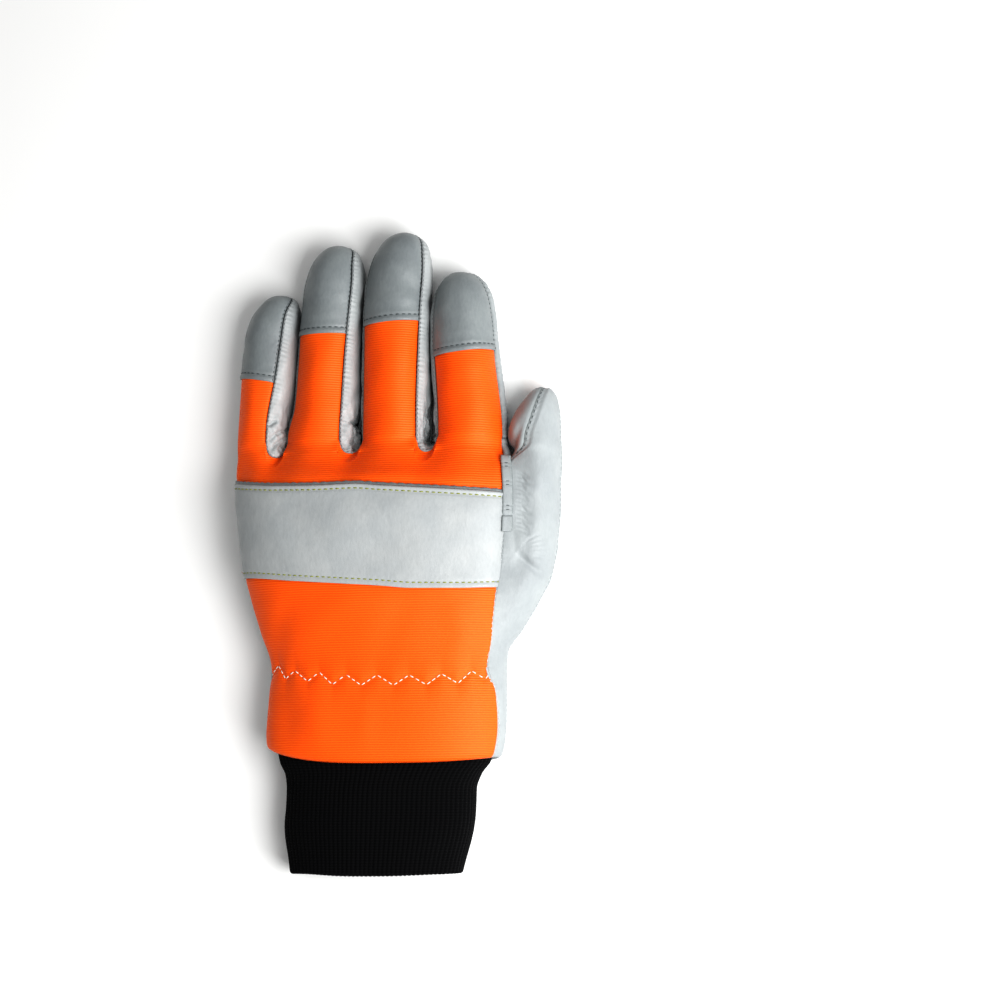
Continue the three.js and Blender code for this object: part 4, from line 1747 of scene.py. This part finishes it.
@dataclass(frozen=True)
class PalmLeather:
    """The palm, the fronts of the fingers and the front of the thumb, and the patch below."""

    wall: float = 1.3
    patch_wall: float = 1.0
    lift: float = 1.2  # of the palm over the patch

    def palm_floor(self, y: Array) -> Array:
        """Height of the palm's underside, which is lifted over the patch."""
        return -SAG + (self.lift + SAG) * ease(y, PATCH_FROM - 4, PATCH_FROM + 0.5)

    def palm(self) -> Patch:
        """Grid of the palm, from the seam on the little finger's side round to the thumb's fold.

        Returns:
            The grid.
        """
        columns, rows = 130, 112
        share = np.linspace(0, 1, columns)[None, :]
        t = np.linspace(0, 1, rows)[:, None]
        y = np.full((rows, columns), 100.0)
        for _ in range(3):
            section = HAND.section(y, self.palm_floor(y))
            left = section.at_height(0.5, -1)
            fold = np.radians(HAND.fold.at("angle", y))
            seam = section.at_height(HAND.body.at("seam", y), 1)
            under = 0.055 * ease(y, 79, 86) * ease(-y, -158, -150)
            edge = mix(fold + under, seam, ease(y, 158, 168)) + 2 * math.pi
            x, z = section.point(mix(left, edge, share))
            y = mix(hem_edge(x), 180.6, t)
        patch = Patch(stack(x, y, z))
        patch.turn_in(1.6, 3.2, Border.START)
        patch.turn_in(1, 2.2)
        patch.pucker(Border.LAST, 2.4, 0.2, 3)
        flat = ease(-z, -6, -1)
        patch.crease([(40, 150), (20, 128), (14, 100)], 1.2, 2.4)
        patch.crease([(-30, 138), (0, 132), (30, 140)], 0.8, 2)
        patch.crease([(-20, 112), (-26, 92), (-20, 70)], 0.6, 3)
        patch.push(-0.5 * np.abs(swell(patch.points, 24, 41)) * flat)
        return patch.rest()

    def held_in(self, finger: Finger, points: Array) -> Array:
        """Draws the root of a finger in to the hand, so that its front runs into the palm.

        Each point outside the hand's own section, 0.8 mm proud, moves towards the finger's middle
        until it lies on it: halving the step, the largest share of the way out that stays inside.
        From the seam at its root on, the finger's own form comes back over 17 mm.

        Args:
            finger: the finger the points belong to.
            points: points of its front.

        Returns:
            The points, moved.
        """
        x, y, z = points[..., 0], points[..., 1], points[..., 2]
        own, proud = finger.section(y), HAND.section(y).proud(0.8)
        middle_x, middle_z = own.x, mix(own.bottom, own.top, 0.5)
        share = np.zeros_like(x)
        for step in 0.5 ** np.arange(1, 11):
            longer = share + step
            inside = proud.gauge(mix(middle_x, x, longer), mix(middle_z, z, longer)) <= 1
            share = np.where(inside, longer, share)
        share = mix(np.minimum(share + 0.001, 1), 1, ease(y, BASE_SEAM, BASE_SEAM + 17))
        return stack(mix(middle_x, x, share), y, mix(middle_z, z, share))

    def finger_front(self, finger: Finger) -> Patch:
        """Grid of the front of a finger, round its underside from seam to seam.

        Args:
            finger: the finger.

        Returns:
            The grid.
        """
        columns = 56
        y = finger.stations(np.full(columns, BASE_SEAM), 0.7)
        share = np.linspace(0, 1, columns)[None, :]
        left = finger.left_angle(y) if finger is HAND.little else finger.front_angle(y, -1)
        right = finger.right_angle(y) if finger is HAND.index else finger.front_angle(y, 1)
        angle = mix(left, right + 2 * math.pi, share)
        points = self.held_in(finger, finger.place(y, angle))
        patch = Patch(points)
        root = patch.distance(Border.START)
        patch.turn_in(1, 1.8)
        patch.push(-1.5 * bell(root / 2.6))
        if finger is HAND.index:
            side = patch.distance(Border.LAST)
            patch.push(1.1 * bell((side - 3.2) / 2.4) * ease(root, 0, 8))
            patch.pucker(Border.LAST, 1.9, 0.34, 3.4)
        patch.billow(0.3, 14, 43, 5)
        patch.push(-0.35 * np.abs(swell(patch.points * [0.3, 1, 0.3], 7, 44)))
        return patch.rest()

    def thumb_front(self) -> Patch:
        """Grid of the front of the thumb, from the fold or the thumb's seam to the outer seam.

        Below the crotch its first half runs flat from the fold to under the thumb, and beyond it
        wraps up the side that faces the fingers; in between, one eases into the other.

        Returns:
            The grid.
        """
        thumb = HAND.thumb
        under, over = 34, 40
        columns = under + over
        y = thumb.stations(np.full(columns, 79.0), 0.9)
        section, body = thumb.section(y), HAND.section(y)
        emerged = ease(y, 88, 101)
        beyond = ease(y, 158, 168)
        fold = 2 * math.pi + np.radians(HAND.fold.at("angle", y))
        low = body.at_height(OUTER_SEAM, 1) + 2 * math.pi
        whole = np.linspace(0, 1, columns)[None, :]
        on_body = body.point(mix(np.minimum(fold, low - 0.005), low, whole))
        outer = section.at_height(OUTER_SEAM, 1) + 2 * math.pi
        outer = mix(outer, 2 * math.pi - 0.3, thumb.reach(y) ** 4)
        ulnar = section.at_width(HAND.ulnar.at("share", y))
        first = np.linspace(0, 1, under)[None, :]
        second = np.linspace(0, 1, over)[None, :]
        bottom = 1.5 * math.pi
        inner, outside = section.part(slice(0, under)), section.part(slice(under, columns))
        fold_x, fold_z = body.point(fold)[..., :under]
        flat_z = mix(fold_z, inner.bottom, ease(first, 0, 0.4))
        flat = np.array([mix(fold_x, inner.x, first), flat_z])
        wrap = inner.point(mix(ulnar[:, :under], bottom, first))
        wrap = wrap + (HAND.thumb_seam(y)[..., :under] - wrap[..., :1]) * (1 - first) ** 2
        left = mix(flat, wrap, beyond[:, :under])
        right = outside.point(mix(bottom, outer[:, under:], second))
        x, z = mix(on_body, np.concatenate([left, right], axis=-1), emerged)
        points = stack(x, y, z)
        patch = Patch(points)
        patch.turn_in(0.6, 1.6)
        covered = ease(-y, -175, -169) * ease(-patch.distance(Border.FIRST), -7, -2)
        patch.push(-1.3 * covered)
        patch.pucker(Border.FIRST, 2.2, 0.15, 2.6)
        patch.crease([(67.5, 186), (63.5, 178), (60, 172)], 1.1, 1.4)
        patch.billow(0.3, 13, 47, 5)
        flat, spread = patch.points[:, :under], 0.04 * np.arange(under)[None, :]
        right_of = np.maximum.accumulate(flat[..., 0] - spread, axis=1) + spread
        flat[..., 0] = np.where(flat[..., 1] < 150, right_of, flat[..., 0])
        return patch.rest()

    def patch(self) -> Patch:
        """Grid of the patch below the knuckles, with the lines of its three double seams.

        Returns:
            The grid.
        """
        columns, rows = 90, 46
        share = np.linspace(0, 1, columns)[None, :]
        y = np.linspace(PATCH_FROM, PATCH_TO, rows)[:, None] + 0 * share
        section = HAND.section(y, self.lift)
        left = section.at_height(0.34, -1)
        right = 2 * math.pi + np.radians(HAND.fold.at("angle", y))
        x, z = section.point(mix(left, right, share))
        patch = Patch(stack(x, y, z), Border)
        patch.push(1.25)
        patch.turn_in(0.5, 1.2)
        for station in STITCH_ROWS:
            patch.groove(y - station, 0.3, 0.6)
        return patch.rest()

    def build(self, shop: Workshop, finishes: Finishes) -> None:
        """Makes the palm's pieces and the seams of the patch below the knuckles.

        Args:
            shop: makes the pieces.
            finishes: the materials.
        """
        slot = "palm_leather"
        mesh = shop.mesh("palm", [self.palm()])
        shop.add(mesh, finishes.pale, slot, ["palm_leather"], self.wall)
        for finger in HAND.fingers():
            mesh = shop.mesh(f"front_of_{finger.name}", [self.finger_front(finger)])
            shop.add(mesh, finishes.pale, slot, [], self.wall)
        mesh = shop.mesh("front_of_thumb", [self.thumb_front()])
        shop.add(mesh, finishes.pale, slot, [], self.wall)
        patch = self.patch()
        mesh = shop.mesh("patch_below_knuckles", [patch])
        shop.add(mesh, finishes.pale, slot, ["palm_patch"], self.patch_wall, finishes.edge)
        stitches = Sewing("patch_stitches", Thread(2, 0.8, 0.2, 0.02))
        for station in STITCH_ROWS:
            row, column = patch.contour(patch.rib, station)
            stitches.row(*patch.trace(row[2:-2], column[2:-2]))
        stitches.build(shop, finishes.pale_thread, slot)


def stretched(reach: Array, step: Array) -> Array:
    """Fills the hollows of an outline, as leather stretched over it does.

    For a direction and its neighbours a few steps to both sides, at reaches a and b, the straight
    line between the neighbours is crossed at 2ab/(a + b) times the cosine of the angle to them.
    The larger of this and the reach is kept, for wide pairs first, and all of it three times.

    Args:
        reach: the outline's reach, rows by evenly spaced directions.
        step: the angle between two directions, rows by one.

    Returns:
        The filled outline's reach.
    """
    filled = np.maximum(reach, 1e-6)
    for _ in range(3):
        for k in (48, 36, 27, 20, 15, 11, 8, 6, 4, 3, 2, 1):
            a, b = filled[:, : -2 * k], filled[:, 2 * k :]
            chord = 2 * a * b / (a + b) * np.cos(k * step)
            filled[:, k:-k] = np.maximum(filled[:, k:-k], chord)
    return filled


# Fine wrinkles on the back of the thumb, from the valley outwards, in plan
WRINKLES = tuple(
    ((64.9, y), (67.4, y - 0.8), (70.6 + 1.3 * math.sin(2.1 * y), y - 3 - 0.4 * math.sin(y)))
    for y in np.arange(142, 166, 1.7)
)
FAN = (
    ((67.2, 134.2), (70.3, 137.4), (75.3, 140.2)), ((67.6, 133.8), (71.2, 136.2), (76.6, 138)),
    ((67.9, 133.2), (71.8, 134.9), (77.4, 136)), ((68.3, 132.4), (72.2, 133.4), (77.8, 133.9)),
    ((68.8, 131.4), (72.6, 131.9), (77.6, 131.7)), ((69.6, 130.4), (72.8, 130.4), (76.8, 129.8)),
)


@dataclass(frozen=True)
class ThumbBack:
    """The pale leather over the back of the thumb, and down the side of the hand to the hem."""

    wall: float = 1.3
    columns: int = 112
    directions: int = 150
    depth: float = 46.0  # how far the outline is searched for
    # The end of the palm's patch, lapped over the leather: its width, wall, stations and stitches
    end_width: float = 4.4
    end_wall: float = 0.8
    end_from: float = 140.9
    end_fold: float = 147.8
    end_top: float = 172.8
    end_stitches: tuple[float, ...] = (149.9, 151.6, 160.2, 161.7, 167.9, 169.4)
    # Where the outline is looked at from
    view: Table = Table(
        "y x",
        [(44, 36), (80, 40), (100, 48), (115, 55), (127, 59.2), (136, 60.8), (178, 61.4)],
    )
    view_height: float = 6.0
    lap: float = 0.035  # share of the hand's height that the leather runs on under the back

    def reach(self, section: Section, x: Array, angle: Array) -> Array:
        """Distance from a point between thumb and hand to the far side of a section.

        Along each direction the section's gauge is read every half millimetre, and the last
        crossing is placed on a straight line between its neighbours; nought where there is none.

        Args:
            section: sections of rows by one by one.
            x: where the point lies, rows by one.
            angle: directions, rows by columns.

        Returns:
            The distances, rows by columns.
        """
        steps = np.arange(0, self.depth, 0.5)
        run_x = x[..., None] + steps * np.cos(angle)[..., None]
        run_z = self.view_height + steps * np.sin(angle)[..., None]
        gauge = section.gauge(run_x, run_z)
        inside = gauge < 1
        last = len(steps) - 1 - inside[..., ::-1].argmax(axis=-1)
        last = np.minimum(last, len(steps) - 2)[..., None]
        before = np.take_along_axis(gauge, last, axis=-1)[..., 0]
        after = np.take_along_axis(gauge, last + 1, axis=-1)[..., 0]
        place = steps[last[..., 0]] + 0.5 * (1 - before) / (after - before)
        return np.where(inside.any(axis=-1), place, 0)

    def outline(self, y: Array) -> Array:
        """Outline of thumb and hand together, from the outer seam to the back's seam.

        The larger of both reaches is taken, and the leather is stretched over the hollow between
        them. Columns are then spaced evenly along the outline.

        Args:
            y: stations, rows by one, at which both show.

        Returns:
            The outline's x and z, each rows by columns.
        """
        thumb, body = HAND.thumb.section(y), HAND.section(y)
        centre = self.view.at("x", y)
        emerged = ease(y, 88, 101)
        on_thumb = thumb.point(thumb.at_height(OUTER_SEAM, 1))
        start_x, start_z = mix(body.point(body.at_height(OUTER_SEAM, 1)), on_thumb, emerged)
        end_x, end_z = body.point(body.at_height(HAND.body.at("seam", y) + self.lap, 1))
        first = np.arctan2(start_z - self.view_height, start_x - centre)
        last = np.arctan2(end_z - self.view_height, end_x - centre)
        angle = mix(first, last, np.linspace(0, 1, self.directions)[None, :])
        deep = y[..., None]
        hand = self.reach(HAND.section(deep), centre, angle)
        ball = self.reach(HAND.thumb.section(deep), centre, angle)
        under = np.maximum(hand, ball)
        both = stretched(under, (last - first) / (self.directions - 1))
        x = centre + both * np.cos(angle)
        z = self.view_height + both * np.sin(angle)
        run = cumulative(stack(x, y, z), 1)
        place = np.linspace(0, 1, self.columns) * run[:, -1:]
        return np.array([respaced(run, place, x), respaced(run, place, z)])

    def surface(self) -> Patch:
        """Grid of the piece, from the outer seam over the thumb and the valley to the back's seam.

        Near the hem a row is the hand's side alone, beyond the crotch the thumb alone, and in
        between the outline of both; each eases into the next.

        Returns:
            The grid.
        """
        thumb = HAND.thumb
        columns = np.linspace(0, 1, self.columns)[None, :]
        first_y = np.full((1, self.columns), 50.0)
        for _ in range(3):
            body = HAND.section(first_y)
            seam = body.at_height(HAND.body.at("seam", first_y), 1)
            x, _ = body.point(mix(body.at_height(OUTER_SEAM, 1), seam, columns))
            first_y = hem_edge(x)
        shaft = np.linspace(0, 1, 210)[:-1, None]
        y = np.vstack([mix(first_y, 150.0, shaft), thumb.stations(np.full(self.columns, 150.0), 0.48)])
        spine = y.mean(axis=1, keepdims=True)
        both = self.outline(np.clip(spine, 60, 177))
        body, section = HAND.section(y), thumb.section(y)
        seam = body.at_height(HAND.body.at("seam", y), 1)
        side = body.point(mix(body.at_height(OUTER_SEAM, 1), seam, columns))
        outer = mix(section.at_height(OUTER_SEAM, 1), -0.3, thumb.reach(y) ** 4)
        tip = section.point(mix(outer, section.at_width(HAND.ulnar.at("share", y)), columns))
        x, z = mix(mix(side, both, ease(y, 62, 80)), tip, ease(y, 168, 177))
        patch = Patch(stack(x, y, z), (Border.FIRST,))
        # below station 165 the back's seam counts 3 mm further off, so the seam darkening (part dirt,
        # part painted shade) leaves it out; from 172 it counts in full
        hidden = 3 * (1 - ease(y, 165, 172))
        patch.seam = np.minimum(patch.seam, patch.distance(Border.LAST) + hidden)
        patch.turn_in(1.6, 3.2, Border.START)
        patch.turn_in(0.8, 1.8, Border.FIRST)
        sewn_to_back = ease(-y, -172, -165)
        lapped = mix(-0.5, mix(-0.35, 0, ease(patch.distance(Border.LAST), 0.4, 1.4)), sewn_to_back)
        patch.push(lapped * ease(-patch.distance(Border.LAST), -4, -2))
        self.fold(patch)
        return patch.rest()

    def patch_end(self) -> Patch:
        """Grid of the end of the palm's patch, lapped over the leather beside the back's seam.

        Returns:
            The grid.
        """
        rows, columns = 90, 26
        y = np.linspace(self.end_from, self.end_top, rows)[:, None]
        outline_x, outline_z = self.outline(y)
        run = cumulative(stack(outline_x, y, outline_z), 1)
        place = run[:, -1:] - self.end_width * np.linspace(1, 0, columns)
        x, z = respaced(run, place, outline_x), respaced(run, place, outline_z)
        patch = Patch(stack(x, y, z), (Border.FIRST, Border.LAST, Border.END))
        patch.push(np.linspace(0.55, 1.2, columns)[None, :])
        patch.turn_in(0.5, 0.9)
        for station in self.end_stitches:
            patch.groove(patch.rib - station, 0.16, 0.4)
        patch.push(0.45 * ease(self.end_fold - patch.rib, 0, 1))
        patch.groove(patch.rib - self.end_fold, 0.5, 0.5)
        return patch.push(0.12 * swell(patch.points, 5, 53))

    def fold(self, patch: Patch) -> None:
        """Adds the puckers of the seams, and the wrinkles that fan out from the valley.

        Args:
            patch: the leather, changed in place.
        """
        patch.pucker(Border.LAST, 2.2, 0.12, 2.2)
        patch.pucker(Border.FIRST, 2.2, 0.14, 2.6)
        patch.crease([(64.9, 132.3), (69.5, 128), (75.8, 123)], 1.3, 1.7)
        patch.crease([(63.4, 129.8), (67.8, 125.4), (74, 121)], 0.6, 2.6)
        patch.crease([(63.9, 146), (64.4, 139), (65, 132)], 0.35, 1.6)
        for line in WRINKLES:
            patch.crease(line, 0.5, 0.55)
        for line in FAN:
            patch.crease(line, 0.26, 0.6)
        patch.billow(0.25, 16, 61, 5)

    def build(self, shop: Workshop, finishes: Finishes) -> None:
        """Makes the piece and the stitches along its seams.

        Args:
            shop: makes the pieces.
            finishes: the materials.
        """
        leather = self.surface()
        mesh = shop.mesh("thumb_leather", [leather])
        shop.add(mesh, finishes.pale, "palm_leather", ["thumb_back"], self.wall)
        end = self.patch_end()
        mesh = shop.mesh("patch_end_on_side", [end])
        shop.add(mesh, finishes.pale, "palm_leather", ["patch_end"], self.end_wall, finishes.edge)
        dark = Sewing("thumb_seam_stitches", Thread(1.5, 0.9, 0.14, 0.02))
        for station in self.end_stitches:
            row, column = end.contour(end.rib, station)
            dark.row(*end.trace(row[5:-5], column[5:-5]))
        row, column = leather.contour(-leather.distance(Border.LAST), -0.9, 1)
        station = leather.rib[row.astype(int), -1]
        top = (station > 170) & (row < leather.points.shape[0] - 6)
        dark.row(*leather.trace(row[top], column[top]))
        dark.build(shop, finishes.grey, "palm_leather")
        pale = Sewing("side_seam_stitches", Thread(1.1, 1.1, 0.13, 0.02))
        side = (station > 52) & (station < 142)
        pale.row(*leather.trace(row[side], column[side]))
        row, column = leather.contour(leather.distance(Border.FIRST), 0.9, 1)
        kept = (row > 6) & (row < leather.points.shape[0] - 8)
        pale.row(*leather.trace(row[kept], column[kept]))
        pale.build(shop, finishes.pale_thread, "palm_leather")


@dataclass(frozen=True)
class KnitCuff:
    """The black rib-knit cuff: a tube folded double at its edge and tucked into the glove."""

    rows: Table = Table("y x half bottom top", [
        (0, 2.7, 36.5, -0.8, 25.5), (5, 3.1, 37.3, -0.8, 26.2), (25, 4.4, 40.3, -0.8, 27.5),
        (36, 5, 40.2, 0.2, 27.5), (42, 6.2, 41.6, 1.8, 27.5), (47, 7.1, 44.8, 3.3, 27.6),
        (60, 7.5, 47.9, 3.4, 29.8),
    ])
    wall: float = 2.3
    rib: float = 2.05  # pitch of the ribs in millimetres
    rib_height: float = 0.42
    columns: int = 744

    def surface(self) -> Patch:
        """Grid of the cuff: up its inside, round its folded edge and back over its outside.

        The ribs are a flattened cosine of the distance round the cuff, so that they stay upright
        and evenly spaced.

        Returns:
            The grid, closed round its columns.
        """
        even = np.linspace(0, 2 * math.pi, 2000)
        x, z = self.section(np.full(2000, 25.0), 0.0).point(even)
        run = np.concatenate([[0], np.cumsum(np.hypot(np.diff(x), np.diff(z)))])
        count = round(run[-1] / self.rib)
        place = np.linspace(0, run[-1], self.columns, endpoint=False)
        angle = np.interp(place, run, even)[None, :]
        ribs = np.cos(2 * math.pi * count * place / run[-1])[None, :]
        radius = self.wall / 2
        turn = np.linspace(-math.pi / 2, math.pi / 2, 9)[1:-1]
        inner_y, outer_y = np.linspace(60, radius, 10), np.linspace(radius, 60, 44)
        y = np.concatenate([inner_y, radius - radius * np.cos(turn), outer_y, [60]])
        inset = [np.full(10, self.wall), radius - radius * np.sin(turn), np.zeros(44), [1.2]]
        inset = np.concatenate(inset)
        section = self.section(y[:, None], inset[:, None])
        px, pz = section.point(angle)
        wave = 1.2 * ((px - 3) / 40) ** 2 * ease(20 - y, 0, 18)[:, None]
        patch = Patch(stack(px, y[:, None] + wave, pz), ())
        outside = ease(radius - inset, -radius, radius)[:, None]
        shaped = 0.5 + 0.5 * ribs
        patch.push(self.rib_height * (np.sqrt(shaped) - 1) * mix(0.4, 1, outside))
        patch.push(0.35 * swell(patch.points, 30, 71))
        return patch.rest()

    def section(self, y: Array, inset: Array | float) -> Section:
        """Sections of the cuff, a distance inside its outside."""
        x, half, bottom, top = (self.rows.at(name, y) for name in ("x", "half", "bottom", "top"))
        return Section(x, half - inset, bottom + inset, top - inset, FINGER_POWER)

    def build(self, shop: Workshop, finishes: Finishes) -> None:
        """Makes the cuff."""
        mesh = shop.mesh("cuff_rib_knit", [self.surface()], closed=True)
        shop.add(mesh, finishes.knit, "knit", ["knit_cuff"])


# Studio


@dataclass(frozen=True)
class Studio:
    """A pale floor, soft light from the right, and the camera at the photograph's angle."""

    scale: float = 2.3928  # pixels for a millimetre, in a picture of 1000 by 1000
    distance: float = 1200.0
    tilt_right: float = 14.0  # how far the view leans towards the thumb, in degrees
    tilt_near: float = 5.0  # and towards the cuff
    middle_pixel: tuple[float, float] = (393.7, 550.3)  # where the glove's middle is seen

    def camera(self) -> None:
        """Adds the camera, turned so that the glove lies where the photograph shows it."""
        lean, near = math.radians(self.tilt_right), math.radians(self.tilt_near)
        flat = math.cos(near)
        back = Vector((math.sin(lean) * flat, -math.sin(near), math.cos(lean) * flat))
        up = (Vector((0, 1, 0)) - back * back.y).normalized()
        right = up.cross(back)
        target = Vector((0, 0, 15))
        eye = target + back * self.distance
        aside = (500 - self.middle_pixel[0]) / self.scale
        above = (self.middle_pixel[1] - 500) / self.scale
        aim = target + right * aside + up * above
        back = (eye - aim).normalized()
        right = up.cross(back).normalized()
        up = back.cross(right)
        camera = bpy.data.cameras.new("camera")
        camera.sensor_width = 36
        camera.lens = 36 * self.scale * self.distance / 1000
        camera.clip_start = 0.05
        camera.clip_end = 20
        seen = bpy.data.objects.new("camera", camera)
        bpy.context.scene.collection.objects.link(seen)
        turned = Matrix((right, up, back)).transposed().to_4x4()
        seen.matrix_world = Matrix.Translation(eye * METRE) @ turned
        bpy.context.scene.camera = seen

    def floor(self) -> None:
        """Adds the floor, a wide square."""
        size = 4000
        corners = np.array([(-1, -1), (1, -1), (1, 1), (-1, 1)]) * size
        points = np.column_stack([corners, np.zeros(4)]) + ORIGIN
        mesh = mesh_from("floor", points, np.array([[0, 1, 2, 3]]))
        floor = bpy.data.objects.new("floor", mesh)
        bpy.context.scene.collection.objects.link(floor)
        finish = Finish("matt_white_paper", Roughness=0.9, Specular_IOR_Level=0.1)
        finish.shader.inputs["Base Color"].default_value = linear("#fbfbfa")
        mesh.materials.append(finish.material)

    def lamp(self, name: str, place: Sequence[float], size: float, power: float) -> None:
        """Adds a square lamp that faces the glove.

        Args:
            name: the lamp's name.
            place: where it hangs, in metres.
            size: its width in metres.
            power: in watts.
        """
        light = bpy.data.lights.new(name, "AREA")
        light.size = size
        light.energy = power
        lamp = bpy.data.objects.new(name, light)
        bpy.context.scene.collection.objects.link(lamp)
        lamp.location = place
        lamp.rotation_euler = Vector(place).to_track_quat("Z", "Y").to_euler()

    def build(self) -> None:
        """Adds camera, floor and lights."""
        self.camera()
        self.floor()
        self.lamp("key", (0.54, -0.22, 0.54), 0.6, 7.7)
        self.lamp("top", (0.2, 0.2, 1.9), 1, 2.6)
        world = bpy.data.worlds.new("studio")
        world.use_nodes = True
        world.node_tree.nodes["Background"].inputs[0].default_value = linear("#ffffff")
        world.node_tree.nodes["Background"].inputs[1].default_value = 0.25
        bpy.context.scene.world = world
        bpy.context.scene.view_settings.view_transform = "Standard"
        bpy.context.scene.view_settings.look = "High Contrast"


def main() -> None:
    """Builds the studio, then the glove's pieces in order, and logs how many there are."""
    logging.basicConfig(level=logging.INFO, format="%(name)s %(message)s")
    finishes = Finishes()
    shop = Workshop()
    Studio().build()
    for assembly in (BackCloth, KnuckleBand, FingerCaps, SideStrips, PalmLeather, ThumbBack, KnitCuff):
        assembly().build(shop, finishes)
    log.info("%d pieces", len(shop.pieces))
    bpy.context.view_layer.update()


if __name__ == "__main__":
    main()
